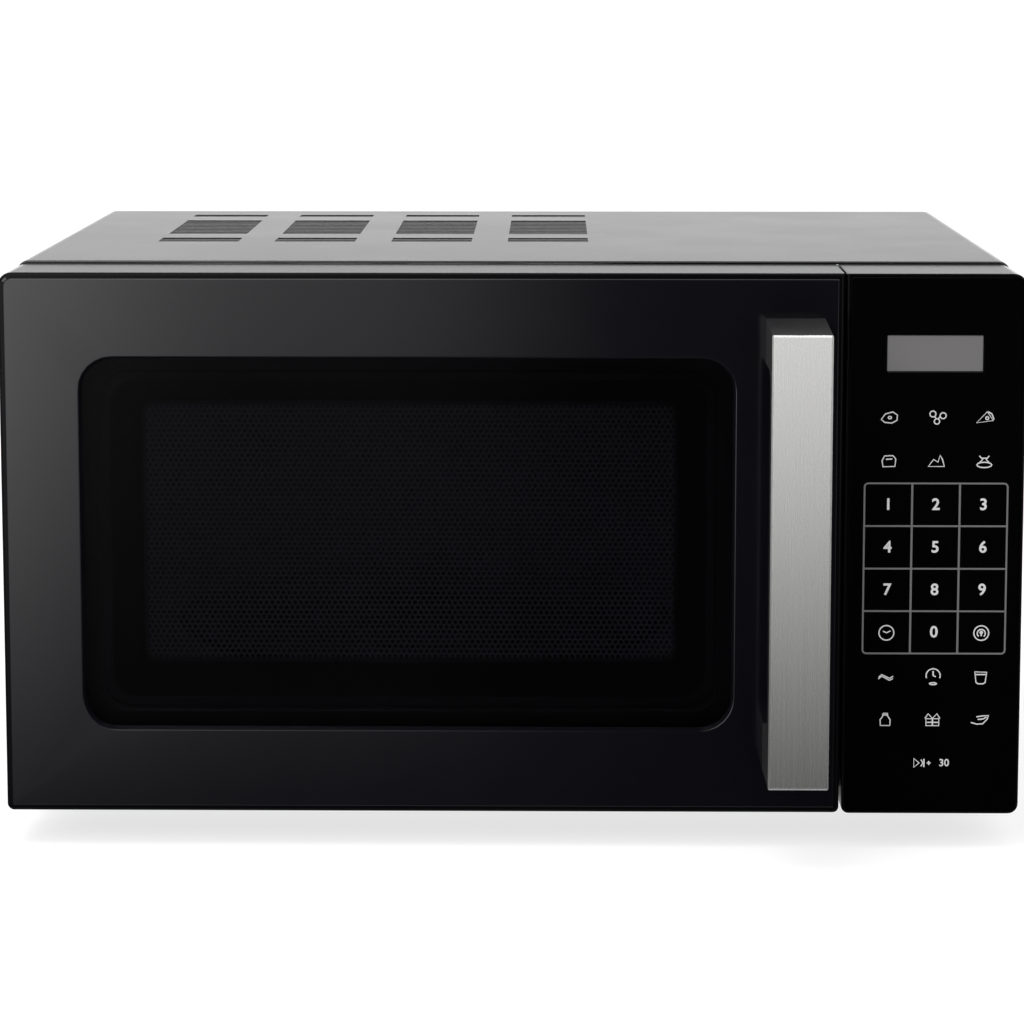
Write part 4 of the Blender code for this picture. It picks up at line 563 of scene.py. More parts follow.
def door_shell():
    """The gloss black door: rounded edge, rim, raised face, window opening and hollow back."""
    back = DOOR_HIGH[1]
    spine_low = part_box("door_cover")[0][0] - 0.3 * mm - DOOR_LOW[0]
    rings = front_rings(DOOR_BOX, DOOR_CORNERS, back, ROUND_FRONT, Y_FACE + FACE_STEP)
    rings += [
        ring(DOOR_BOX, 2.5 * mm, Y_FACE + FACE_STEP, DOOR_CORNERS),
        ring(DOOR_BOX, 2.75 * mm, Y_FACE + 0.12 * mm, DOOR_CORNERS),
        ring(DOOR_BOX, 2.95 * mm, Y_FACE, DOOR_CORNERS),
        window_ring(0.5 * mm, 0),
        window_ring(0.15 * mm, 0.12 * mm),
        window_ring(0.03 * mm, 0.4 * mm),
        window_ring(-1.1 * mm, FACE_THICK - 0.2 * mm),
        window_ring(-1.1 * mm, FACE_THICK),
        window_ring(WINDOW_LAP + 0.3 * mm, FACE_THICK),
        window_ring(WINDOW_LAP + 0.3 * mm, 13.7 * mm),
        window_ring(WINDOW_LAP + 2.8 * mm, 13.7 * mm),
        window_ring(WINDOW_LAP + 2.8 * mm, FACE_THICK),
    ]
    side = spine_low - DOOR_WALL
    corners = [max(radius, 3 * mm) for radius in DOOR_CORNERS]
    rings += [
        ring(DOOR_BOX, DOOR_WALL, Y_FACE + FACE_THICK, corners),
        ring(DOOR_BOX, DOOR_WALL, Y_FACE + 15 * mm, corners),
        ring(DOOR_BOX, DOOR_WALL, Y_FACE + 15 * mm, corners, (side, 0, 0, 0)),
        ring(DOOR_BOX, DOOR_WALL, back, corners, (side, 0, 0, 0)),
    ]
    shell = loft("door_shell", rings, closed=True)

    hinge = next(joint for joint in frame["joints"] if joint["name"] == "door_hinge")["pos_m"]
    round_off = hinge[0] - DOOR_LOW[0]
    bm = bmesh.new()
    points = [(DOOR_LOW[0] - 2 * mm, back + 2 * mm), (DOOR_LOW[0] - 2 * mm, back - round_off)]
    for step in range(13):
        angle = step * math.pi / 24
        points.append((DOOR_LOW[0] + round_off * (1 - math.cos(angle)), back - round_off * (1 - math.sin(angle))))
    points.append((DOOR_LOW[0] + round_off, back + 2 * mm))
    loops = [[bm.verts.new((x, y, z)) for x, y in points] for z in (DOOR_LOW[2] - 5 * mm, DOOR_HIGH[2] + 5 * mm)]
    for loop in loops:
        bm.faces.new(loop)
    for k in range(len(points)):
        n = (k + 1) % len(points)
        bm.faces.new((loops[0][k], loops[0][n], loops[1][n], loops[1][k]))
    bmesh.ops.recalc_face_normals(bm, faces=bm.faces)
    cutters = [mesh_from(bm, "hinge_round")]
    for bracket in ("lower_hinge_bracket", "upper_hinge_bracket"):
        low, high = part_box(bracket)
        z = low[2] + 8 * mm if bracket.startswith("lower") else high[2] - 8 * mm
        slot_low = (DOOR_LOW[0] - 5 * mm, hinge[1] - 8 * mm, z - 1.6 * mm)
        cutters.append(box_mesh("hinge_slot", slot_low, (DOOR_LOW[0] + 14 * mm, back + 5 * mm, z + 1.6 * mm)))
    mesh = bevelled(shell, "door_shell", 0, cutters=cutters)
    smooth(mesh, 30)
    shell = new_piece("door_shell", mesh, "gloss_black_plastic", "door", ("door_frame",))
    # The door's walls and rounded edge take the darker rim finish: painted shade.
    paint_rim_shade(shell, "edge_gloss", DOOR_BOX, 2.4 * mm)


def window_glass():
    y0, y1 = 3.3 * mm, 6.3 * mm
    rings = [window_ring(WINDOW_LAP - 0.4 * mm, y0), window_ring(WINDOW_LAP, y0 + 0.4 * mm)]
    rings += [window_ring(WINDOW_LAP, y1 - 0.4 * mm), window_ring(WINDOW_LAP - 0.4 * mm, y1)]
    return new_piece("window_glass", loft("window_glass", rings), "smoked_glass", "door", ("door_glass",))


# ---------------------------------------------------------------- perforated screen
HOLE_PITCH = 2.6 * mm
HOLE_SHARE = 0.66
SCREEN_INSET = 24 * mm
SCREEN_DEPTH = 34 * mm


def geometry_tree(name, inputs):
    """An empty geometry tree. inputs holds (name, socket type, value)."""
    tree = bpy.data.node_groups.new(name, "GeometryNodeTree")
    for label, kind, value in inputs:
        socket = tree.interface.new_socket(label, in_out="INPUT", socket_type=kind)
        if value is not None:
            socket.default_value = value
    tree.interface.new_socket("Geometry", in_out="OUTPUT", socket_type="NodeSocketGeometry")
    return tree, tree.nodes.new("NodeGroupInput"), tree.nodes.new("NodeGroupOutput")


def run_tree(name, tree, values, source=None):
    """The plain mesh that a geometry tree makes with these inputs."""
    holder = placed(name, source or bpy.data.meshes.new(name))
    step = holder.modifiers.new("build", "NODES")
    step.node_group = tree
    for item in tree.interface.items_tree:
        if item.item_type == "SOCKET" and item.in_out == "INPUT" and item.name in values:
            step[item.identifier] = values[item.name]
    made = applied(holder)
    made.name = name
    return made


def hand_out(tree, given, made, geometry):
    """Ends a geometry tree with its material."""
    paint = [("Geometry", geometry), ("Material", given.outputs["Material"])]
    tree.links.new(add(tree, "GeometryNodeSetMaterial", paint).outputs[0], made.inputs[0])
    return tree


def thickened(name, sheet, thickness, **settings):
    """A flat mesh given the thickness of its sheet, inwards."""
    holder = placed(name, sheet)
    wall = holder.modifiers.new("sheet", "SOLIDIFY")
    wall.thickness, wall.offset = thickness, -1
    for key, value in settings.items():
        setattr(wall, key, value)
    return applied(holder)


def perforation_tree():
    """Hexagonal cells, each with a hole, side by side in staggered rows in the XZ plane."""
    tree, given, made = geometry_tree(
        "perforation",
        [("Columns", WHOLE, 10), ("Rows", WHOLE, 10), ("Pitch", NUMBER, 0.003), ("Hole Share", NUMBER, 0.6),
         ("Material", PAINT, None)],
    )
    pitch = given.outputs["Pitch"]
    cell_radius = sums(tree, "MULTIPLY", pitch, 1 / math.sqrt(3))
    cell = add(tree, "GeometryNodeMeshCircle", [("Vertices", 6), ("Radius", cell_radius)], fill_type="NGON")
    rim = add(tree, "GeometryNodeExtrudeMesh", [("Mesh", cell.outputs[0]), ("Offset Scale", 0.0)])
    hole = add(
        tree, "GeometryNodeScaleElements",
        [("Geometry", rim.outputs["Mesh"]), ("Selection", rim.outputs["Top"]),
         ("Scale", given.outputs["Hole Share"])],
    )
    opened = add(
        tree, "GeometryNodeDeleteGeometry",
        [("Geometry", hole.outputs[0]), ("Selection", rim.outputs["Top"])], domain="FACE",
    )
    row_pitch = sums(tree, "MULTIPLY", pitch, math.sqrt(3) / 2)
    width = sums(tree, "MULTIPLY", pitch, sums(tree, "SUBTRACT", given.outputs["Columns"], 1.0))
    height = sums(tree, "MULTIPLY", row_pitch, sums(tree, "SUBTRACT", given.outputs["Rows"], 1.0))
    grid = add(
        tree, "GeometryNodeMeshGrid",
        [("Size X", width), ("Size Y", height), ("Vertices X", given.outputs["Columns"]),
         ("Vertices Y", given.outputs["Rows"])],
    )
    index = add(tree, "GeometryNodeInputIndex").outputs[0]
    row = sums(tree, "MODULO", index, given.outputs["Rows"])
    odd = sums(tree, "MODULO", row, 2.0)
    half_pitch = sums(tree, "MULTIPLY", pitch, 0.5)
    shift = add(tree, "ShaderNodeCombineXYZ", [("X", sums(tree, "MULTIPLY", odd, half_pitch))])
    staggered = add(tree, "GeometryNodeSetPosition", [("Geometry", grid.outputs[0]), ("Offset", shift.outputs[0])])
    turn = add(tree, "FunctionNodeInputVector")
    turn.vector = (0, 0, math.radians(30))
    cells = add(
        tree, "GeometryNodeInstanceOnPoints",
        [("Points", staggered.outputs[0]), ("Instance", opened.outputs[0]), ("Rotation", turn.outputs[0])],
    )
    real = add(tree, "GeometryNodeRealizeInstances", [("Geometry", cells.outputs[0])])
    welded = add(tree, "GeometryNodeMergeByDistance", [("Geometry", real.outputs[0]), ("Distance", 0.02 * mm)])
    return hand_out(tree, given, made, welded.outputs[0])


def screen():
    """The steel screen behind the window: sloping surround and perforated field."""
    width = WINDOW[2] - WINDOW[0] - 2 * SCREEN_INSET
    height = WINDOW[3] - WINDOW[1] - 2 * SCREEN_INSET
    columns = int(width / HOLE_PITCH) + 1
    rows = int(height / (HOLE_PITCH * math.sqrt(3) / 2)) + 1
    field = run_tree(
        "screen_field", perforation_tree(),
        {"Columns": columns, "Rows": rows, "Pitch": HOLE_PITCH, "Hole Share": HOLE_SHARE,
         "Material": FINISHES["screen_paint"]},
    )
    bm = bmesh.new()
    bm.from_mesh(field)
    middle_x, middle_z = (WINDOW[0] + WINDOW[2]) / 2 - HOLE_PITCH / 4, (WINDOW[1] + WINDOW[3]) / 2
    middle = Matrix.Translation((middle_x, Y_FACE + SCREEN_DEPTH + 0.15 * mm, middle_z))
    bm.transform(middle @ Matrix.Rotation(math.pi / 2, 4, "X"))
    bmesh.ops.recalc_face_normals(bm, faces=bm.faces)
    if bm.faces[:][0].normal.y > 0:
        bmesh.ops.reverse_faces(bm, faces=bm.faces)
    sheet = thickened("screen_field", mesh_from(bm, "screen_field"), 0.5 * mm)
    smooth(sheet, 20)
    new_piece("screen_field", sheet, "screen_paint", "door", ())

    low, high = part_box("door_screen")
    rim = (low[0], low[2], high[0], high[2])
    thick = 0.8 * mm

    def slope_ring(inset, depth, radius):
        return window_ring(-inset, depth, max(radius + inset, 1 * mm))

    ledge, slope = 12 * mm, SCREEN_INSET
    front = 14 * mm
    rings = [
        ring(rim, 0, Y_FACE + front, [6 * mm] * 4),
        slope_ring(5.4 * mm, front, 13 * mm),
        slope_ring(6.2 * mm, front + 0.7 * mm, 12.6 * mm),
        slope_ring(7.4 * mm, front + 0.7 * mm, 12.2 * mm),
        slope_ring(8.2 * mm, front, 12 * mm),
        slope_ring(ledge - 0.8 * mm, front, 11.5 * mm),
        slope_ring(ledge - 0.2 * mm, front + 0.15 * mm, 11 * mm),
        slope_ring(ledge + 0.3 * mm, front + 0.6 * mm, 11 * mm),
        slope_ring(slope - 0.8 * mm, SCREEN_DEPTH - 0.5 * mm, 6 * mm),
        slope_ring(slope - 0.1 * mm, SCREEN_DEPTH, 5.5 * mm),
        slope_ring(slope + 1.6 * mm, SCREEN_DEPTH, 4 * mm),
    ]
    back = []
    for points in reversed(rings):
        back.append([(x, y + thick, z) for x, y, z in points])
    mesh = loft("screen_surround", rings + back, closed=True)
    # The surround takes the darker copy of the field's paint: painted shade.
    new_piece("screen_surround", mesh, "surround_paint", "door", ("door_screen",))


# ---------------------------------------------------------------- handle
def handle():
    """Black bow grip with a brushed aluminium strip on its front."""
    eased("handle_grip", 1.1 * mm, name="grip_bow", segments=3)
    low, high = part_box("handle_strip")
    box = (low[0] - 0.1 * mm, low[2], high[0] + 0.1 * mm, high[2])
    corners = [0.8 * mm] * 4
    rings = [
        ring(box, 0.25 * mm, high[1] + 0.2 * mm, corners),
        ring(box, 0, high[1], corners),
        ring(box, 0, low[1] + 0.85 * mm, corners),
        ring(box, 0.1 * mm, low[1] + 0.68 * mm, corners),
        ring(box, 0.72 * mm, low[1] + 0.08 * mm, corners),
        ring(box, 0.95 * mm, low[1], corners),
    ]
    new_piece("grip_strip", loft("grip_strip", rings), "brushed_aluminium", "door", ("handle_strip",))


# ---------------------------------------------------------------- control panel
PANEL_BOX = (PANEL_LOW[0], PANEL_LOW[2], PANEL_HIGH[0], PANEL_HIGH[2])
PANEL_CORNERS = (6 * mm, 0.5 * mm, 3.2 * mm, 4.5 * mm)


def display_box():
    low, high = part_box("display_window")
    return (low[0], low[2], high[0], high[2]), low[1], high[1]


def panel_shell():
    """The gloss black panel housing: rounded edge, rim and recess for the printed overlay."""
    back = PANEL_HIGH[1]
    fascia_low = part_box("control_panel_fascia")[0]
    recess = fascia_low[0] - PANEL_LOW[0] - 0.25 * mm
    rings = front_rings(PANEL_BOX, PANEL_CORNERS, back, ROUND_PANEL, Y_FACE)
    deep = Y_FACE + 2 * mm
    inner = Y_FACE + 4 * mm
    show = display_box()[0]
    flat = [0.3 * mm] * 4
    rings += [
        ring(PANEL_BOX, recess, Y_FACE, PANEL_CORNERS),
        ring(PANEL_BOX, recess, deep, PANEL_CORNERS),
        ring(show, -0.3 * mm, deep, flat),
        ring(show, -0.3 * mm, inner, flat),
        ring(PANEL_BOX, 2.8 * mm, inner, PANEL_CORNERS),
        ring(PANEL_BOX, 2.8 * mm, back, PANEL_CORNERS),
    ]
    mesh = loft("panel_shell", rings, closed=True)
    # The whole panel housing takes the darker rim finish: painted shade on its edges.
    new_piece("panel_shell", mesh, "edge_gloss", "chassis", ("control_panel_frame",))


def panel_overlay():
    """The gloss overlay over the whole panel, with an opening for the display."""
    low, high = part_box("control_panel_fascia")
    box = (low[0], low[2], high[0], high[2])
    show, show_front, show_back = display_box()
    corners = [4 * mm, 1.2 * mm, 2 * mm, 3 * mm]
    flat = [0.4 * mm] * 4
    rings = [
        ring(box, 0, high[1], corners),
        ring(box, 0, low[1] + 0.25 * mm, corners),
        ring(box, 0.25 * mm, low[1], corners),
        ring(show, -0.35 * mm, low[1], flat),
        ring(show, -0.2 * mm, low[1] + 0.15 * mm, flat),
        ring(show, -0.2 * mm, high[1], flat),
    ]
    mesh = loft("panel_overlay", rings, closed=True)
    new_piece("panel_overlay", mesh, "panel_gloss", "chassis", ("control_panel_fascia",))
    rings = [ring(show, 0, show_back, flat), ring(show, 0, show_front + 0.45 * mm, flat)]
    rings.append(ring(show, 0.15 * mm, show_front + 0.3 * mm, flat))
    new_piece("display_pane", loft("display_pane", rings), "display_grey", "chassis", ("display_window",))


KEY_LEFT, KEY_PITCH_X = 8.6 * mm, 21.0 * mm  # first column line from the panel's left edge
KEY_TOP, KEY_PITCH_Z = 92.8 * mm, 19.1 * mm  # first row line below the panel's top edge
PRINT_RISE = 0.05 * mm
ICON_SCALE = 1.5
START_SCALE = 1.25
START_DOWN = 218.9  # mm, the start key below the panel's top edge
START_COLUMN, SECONDS_AT = 0.62, 1.76  # its mark and its number, in columns
FIGURE_SIZE, FIGURE_BOLD = 7.2 * mm, 0.16 * mm
SECONDS_SIZE, SECONDS_BOLD = 4.6 * mm, 0.08 * mm
ICON_LINE = 0.62 * mm
GRID_LINE, GRID_ROUND = 0.9 * mm, 1.6 * mm


def ink(strokes, name, paint, width):
    """Printed lines. strokes holds (points, closed) with points (x, z) from the panel's top left corner."""
    meshes = []
    for points, closed in strokes:
        curve = bpy.data.curves.new(name, "CURVE")
        curve.dimensions = "3D"
        curve.bevel_depth, curve.bevel_resolution, curve.use_fill_caps = width / 2, 1, True
        line = curve.splines.new("POLY")
        line.points.add(len(points) - 1)
        line.use_cyclic_u = closed
        for place, (x, z) in zip(line.points, points):
            place.co = (x, 0, z, 1)
        meshes.append(applied(placed(name, curve)))
    bm = bmesh.new()
    for mesh in meshes:
        bm.from_mesh(mesh)
    flatten = Matrix.Diagonal((1, 2 * PRINT_RISE / width, 1, 1))
    bm.transform(Matrix.Translation((PANEL_LOW[0], Y_FACE, PANEL_HIGH[2])) @ flatten)
    bmesh.ops.recalc_face_normals(bm, faces=bm.faces)
    return new_piece(name, mesh_from(bm, name), paint, "chassis", ())


def arc(x, z, radius_x, radius_z=None, start=0.0, end=360.0, steps=20):
    """Points (x, z) on an ellipse, in mm, as strokes take them."""
    radius_z = radius_z or radius_x
    angles = [math.radians(start + (end - start) * k / steps) for k in range(steps + 1)]
    return [(x + radius_x * math.cos(a), z + radius_z * math.sin(a)) for a in angles]


def circle(x, z, radius_x, radius_z=None, steps=20):
    return arc(x, z, radius_x, radius_z, 0.0, 360.0, steps)[:-1], True


def icon_strokes():
    """Small symbols for the programmes, each round its own middle, in mm."""
    potato = [([(-2.4, -0.6), (-1.2, 1.0), (0.9, 1.6), (2.3, 0.7), (2.2, -0.9), (0.7, -1.7), (-1.4, -1.5)], True),
              circle(0.1, -0.1, 0.5, 0.35, 8)]
    greens = [circle(-1.3, 1.0, 0.9, steps=10), circle(-0.1, -1.2, 0.8, steps=10), circle(1.7, 0.5, 0.9, steps=10),
              ([(-0.8, 0.2), (-0.3, -0.4)], False), ([(0.8, 0.2), (0.2, -0.5)], False)]
    slice_ = [([(-2.5, -1.6), (0.6, 1.7), (2.4, -0.9)], True), circle(0.6, -0.2, 0.45, steps=8),
              ([(0.9, 1.7), (2.0, 1.0), (2.6, -0.6)], False)]
    bread = [([(-1.7, -1.6), (-2.0, 0.2), (-1.3, 1.6), (1.2, 1.7), (2.0, 0.7), (1.8, -1.5)], True),
             ([(-0.9, 0.6), (1.0, 0.7)], False)]
    dish = [([(-2.4, -1.5), (-0.9, 0.6), (0.4, -0.2), (1.0, 1.8), (1.7, 0.6), (2.3, -1.5)], True)]
    bowl = [circle(0, -1.0, 2.2, 0.8, 12), ([(-1.5, 1.7), (-0.5, 0.6), (-1.4, -0.3)], False),
            ([(1.4, 1.7), (0.5, 0.6), (1.4, -0.3)], False), ([(-1.0, 1.0), (1.0, 1.0)], False)]
    waves = [([(-2.1, 0.0), (-1.2, 0.8), (0.0, 0.2), (1.1, -0.3), (2.2, 0.3)], False),
             ([(-2.2, -0.5), (-1.2, 0.3), (0.0, -0.3), (1.1, -0.9), (2.1, -0.4)], False)]
    timer = [(arc(0, 0.5, 2.1, start=-20, end=200, steps=12), False), ([(0, 0.5), (0, 1.9)], False),
             ([(0, 0.5), (0.8, 0.2)], False), circle(0, -1.9, 1.1, 0.3, 8)]
    cup = [([(-1.7, 1.7), (-1.3, -1.5), (-0.7, -1.9), (0.8, -1.9), (1.4, -1.5), (1.8, 1.6)], True),
           ([(-1.5, 0.9), (1.5, 0.9)], False)]
    bottle = [([(-1.4, -1.8), (-1.5, -0.1), (-0.7, 1.1), (-0.6, 1.9), (0.6, 1.9), (0.7, 1.1), (1.5, -0.1),
                (1.4, -1.8)], True),
              ([(-0.9, 1.4), (0.9, 1.4)], False)]
    parcel = [([(-1.9, -1.8), (-1.9, 0.3), (1.9, 0.3), (1.9, -1.8)], True), ([(0, -1.8), (0, 0.3)], False),
              ([(-2.2, 0.4), (-1.3, 1.8), (0, 0.4), (1.3, 1.8), (2.2, 0.4)], False),
              ([(-1.7, -0.8), (1.7, -0.8)], False)]
    leaf = [([(-2.6, -0.8), (-0.9, -1.3), (0.9, -1.2), (2.2, 0.2), (2.6, 1.3), (0.8, 1.2), (-1.0, 0.9)], False),
            ([(-0.6, 0.1), (1.1, 0.3), (2.0, 0.9)], False)]
    clock = [circle(0, 0, 2.2, steps=22), ([(-1.0, 0.5), (0, 0), (1.2, 0.6)], False)]
    stop = [circle(0, 0, 2.2, steps=22), (arc(0, -0.1, 1.2, start=-50, end=230, steps=12), False),
            ([(0, 0.3), (0, -0.9)], False), circle(0, 0.2, 0.4, steps=6)]
    start = [([(0, -1.6), (0, 1.6), (1.9, 0)], True), ([(2.5, -1.2), (3.3, 0), (2.5, 1.2)], False),
             ([(3.6, 1.5), (3.6, -1.5)], False), ([(4.6, 0), (6.0, 0)], False), ([(5.3, -0.7), (5.3, 0.7)], False)]
    return {
        (0, 63.4): potato, (1, 63.4): greens, (2, 63.4): slice_, (0, 83.0): bread, (1, 83.0): dish, (2, 83.0): bowl,
        (0, 159.9): clock, (2, 159.9): stop, (0, 180.0): waves, (1, 180.0): timer, (2, 180.0): cup,
        (0, 199.2): bottle, (1, 199.2): parcel, (2, 199.2): leaf, (START_COLUMN, START_DOWN): start,
    }


def digits():
    """Bold figures on the keys, and the seconds that the start key adds."""
    meshes = []
    labels = []
    for row, text in enumerate(("123", "456", "789", " 0 ")):
        for column, figure in enumerate(text):
            if figure != " ":
                x = KEY_LEFT + KEY_PITCH_X * (column + 0.5)
                labels.append((figure, x, -(KEY_TOP + KEY_PITCH_Z * (row + 0.5)), FIGURE_SIZE, FIGURE_BOLD))
    labels.append(("30", KEY_LEFT + KEY_PITCH_X * SECONDS_AT, -START_DOWN * mm, SECONDS_SIZE, SECONDS_BOLD))
    for text, x, z, size, bold in labels:
        curve = bpy.data.curves.new("figure", "FONT")
        curve.body, curve.size, curve.align_x, curve.align_y = text, size, "CENTER", "CENTER"
        curve.extrude, curve.offset, curve.resolution_u = PRINT_RISE, bold, 3
        mesh = applied(placed("figure", curve))
        place = Matrix.Translation((PANEL_LOW[0] + x, Y_FACE, PANEL_HIGH[2] + z))
        mesh.transform(place @ Matrix.Rotation(math.pi / 2, 4, "X"))
        meshes.append(mesh)
    new_piece("key_figures", joined("key_figures", meshes), "white_ink", "chassis", ())


def panel_print():
    """Everything printed on the panel: symbols, key grid and figures."""
    strokes = []
    for (column, down), icon in icon_strokes().items():
        x = KEY_LEFT + KEY_PITCH_X * (column + 0.5)
        scale = ICON_SCALE * mm if down < START_DOWN else START_SCALE * mm
        for points, closed in icon:
            strokes.append(([(x + a * scale, -down * mm + b * scale) for a, b in points], closed))
    ink(strokes, "programme_icons", "white_ink", ICON_LINE)
    left, right = KEY_LEFT, KEY_LEFT + 3 * KEY_PITCH_X
    top, bottom = -KEY_TOP, -KEY_TOP - 4 * KEY_PITCH_Z
    lines = [(outline(left, bottom, right, top, [GRID_ROUND] * 4, 4), True)]
    lines += [([(left + k * KEY_PITCH_X, bottom), (left + k * KEY_PITCH_X, top)], False) for k in (1, 2)]
    lines += [([(left, top - k * KEY_PITCH_Z), (right, top - k * KEY_PITCH_Z)], False) for k in (1, 2, 3)]
    ink(lines, "key_grid", "grey_ink", GRID_LINE)
    digits()


# ---------------------------------------------------------------- turntable
def turntable():
    """The glass tray with its rim, foot ring and three lugs, and what turns under it."""
    low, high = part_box("glass_tray")
    middle = ((low[0] + high[0]) / 2, (low[1] + high[1]) / 2, low[2] + 5 * mm)
    edge = (high[0] - low[0]) / 2 / mm
    profile = [(0, 4), (40, 4), (41, 4.35), (43, 4.35), (44, 4), (edge - 18, 4), (edge - 15, 4.8)]
    profile += [(edge - 4, 11.6), (edge - 1.6, 12.9), (edge - 0.5, 12.8), (edge, 12)]
    profile += [(edge - 0.3, 11.2), (edge - 13, 1.2), (edge - 16, 0.2), (edge - 18, 0)]
    profile += [(edge - 22, 0), (edge - 24, -0.4), (edge - 26, -0.4), (edge - 28, 0), (0, 0)]
    meshes = [lathe("tray", profile, middle)]
    for k in range(3):
        angle = math.radians(60 + 120 * k)
        lug = [(0, 0.5), (2.4, 0.5), (2.4, -4), (1.9, -5), (0, -5)]
        place = (middle[0] + 12 * mm * math.cos(angle), middle[1] + 12 * mm * math.sin(angle), middle[2])
        meshes.append(lathe("lug", lug, place, 16))
    new_piece("turntable_tray", joined("turntable_tray", meshes), "clear_glass", "tray", ("glass_tray",))
    for node in ("roller_ring", "drive_coupler", "roller_1", "roller_2", "roller_3"):
        eased(node, 0.35 * mm)


# ---------------------------------------------------------------- casing and hardware
def feet():
    """Turned rubber feet with a ribbed side."""
    meshes = []
    names = [name for name in NODES if name.startswith("foot_")]
    for node in names:
        low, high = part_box(node)
        middle = ((low[0] + high[0]) / 2, (low[1] + high[1]) / 2, 0)
        profile = [(0, 21.2), (2.4, 21.2), (4.2, 18.1), (4.2, 17.35), (3, 17.3), (3, 15.7), (10.6, 15.7), (11, 15.3)]
        profile += [(11, 13.4), (10.6, 12.9), (10.5, 9.5), (10.2, 9.1), (10.3, 8.7), (10.1, 5.5), (9.8, 5.1)]
        profile += [(9.9, 4.7), (9.5, 1.2), (8.9, 0.3), (8.2, 0), (6, 0), (5.6, 0.5), (0, 0.5)]
        meshes.append(lathe(node, profile, middle, 40))
    new_piece("rubber_feet", joined("rubber_feet", meshes), "rubber", "chassis", names)


def screw_tree():
    """One screw on every point of the source mesh."""
    tree, given, made = geometry_tree(
        "screws",
        [("Geometry", "NodeSocketGeometry", None), ("Screw", "NodeSocketObject", None), ("Material", PAINT, None)],
    )
    info = add(tree, "GeometryNodeObjectInfo", [("Object", given.outputs["Screw"])])
    placed = add(
        tree, "GeometryNodeInstanceOnPoints",
        [("Points", given.outputs["Geometry"]), ("Instance", info.outputs["Geometry"])],
    )
    real = add(tree, "GeometryNodeRealizeInstances", [("Geometry", placed.outputs[0])])
    return hand_out(tree, given, made, real.outputs[0])


def cover_screws():
    """Domed screws with a cross recess, in the cover's rear flange."""
    nodes = sorted(name for name in NODES if name.startswith("cover_screw_"))
    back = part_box("wrap_cover")[1][1]
    profile = [(0, 2.0), (1.4, 1.95), (2.6, 1.6), (3.4, 0.9), (3.6, 0.35), (3.6, 0.05)]
    profile += [(1.75, 0.0), (1.75, -7.5), (0, -9.2)]
    turn = Matrix.Rotation(-math.pi / 2, 4, "X")
    body = lathe("screw", profile, (0, 0, 0), 32, turn)
    cross = [
        box_mesh("cross", (-2.2 * mm, 1.0 * mm, -0.45 * mm), (2.2 * mm, 3 * mm, 0.45 * mm)),
        box_mesh("cross", (-0.45 * mm, 1.0 * mm, -2.2 * mm), (0.45 * mm, 3 * mm, 2.2 * mm)),
    ]
    screw = placed("screw", bevelled(body, "screw", 0, cutters=cross))
    points = []
    for node in nodes:
        low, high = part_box(node)
        points.append(((low[0] + high[0]) / 2, back, (low[2] + high[2]) / 2))
    source = bpy.data.meshes.new("screw_places")
    source.from_pydata(points, [], [])
    made = run_tree(
        "cover_screws", screw_tree(), {"Screw": screw, "Material": FINISHES["galvanised_steel"]}, source
    )
    bpy.data.objects.remove(screw, do_unlink=True)
    smooth(made, 35)
    new_piece("cover_screws", made, "galvanised_steel", "chassis", nodes)


SHEET = 1.0 * mm
SLAT_THICK, SLAT_CROWN, SLAT_SINK = 0.7 * mm, 0.25 * mm, 0.5 * mm
SLAT_LAP = 1.2 * mm  # slat longer than its slot
CASING_ROUND = 5 * mm
REAR_FLANGE = 12 * mm
CASING_LOW, CASING_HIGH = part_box("wrap_cover")
ROOF_COLUMNS = [CASING_LOW[0] + 71 * mm + 56.6 * mm * k for k in range(4)]
ROOF_VENT = (39 * mm, 4.5 * mm, 9 * mm)  # length of a slot, its width and pitch
ROOF_FIELDS = ((102 * mm, 3), (147 * mm, 10), (257 * mm, 2))  # distance behind the front edge, slots
SIDE_VENT = (40 * mm, 4 * mm, 8 * mm)
SIDE_FIELDS = ((1, 66 * mm, 39 * mm, 12), (1, 66 * mm, 99 * mm, 12), (-1, 86 * mm, 149 * mm, 9))


def vent_fields():
    """Every louvred field of the casing: (part of the sheet, low corner, high corner, first slot, slots, vent)."""
    fields = []
    for x in ROOF_COLUMNS:
        for start, slots in ROOF_FIELDS:
            y = CASING_LOW[1] + start
            end = y + (slots - 1) * ROOF_VENT[2] + ROOF_VENT[1]
            fields.append(("roof", (x - ROOF_VENT[0] / 2, y), (x + ROOF_VENT[0] / 2, end), slots, ROOF_VENT))
    for side, behind, rise, slots in SIDE_FIELDS:
        end = CASING_HIGH[1] - behind
        y = end - (slots - 1) * SIDE_VENT[2] - SIDE_VENT[1]
        z = CASING_LOW[2] + rise
        part = "right" if side > 0 else "left"
        fields.append((part, (z, y), (z + SIDE_VENT[0], end), slots, SIDE_VENT))
    return fields


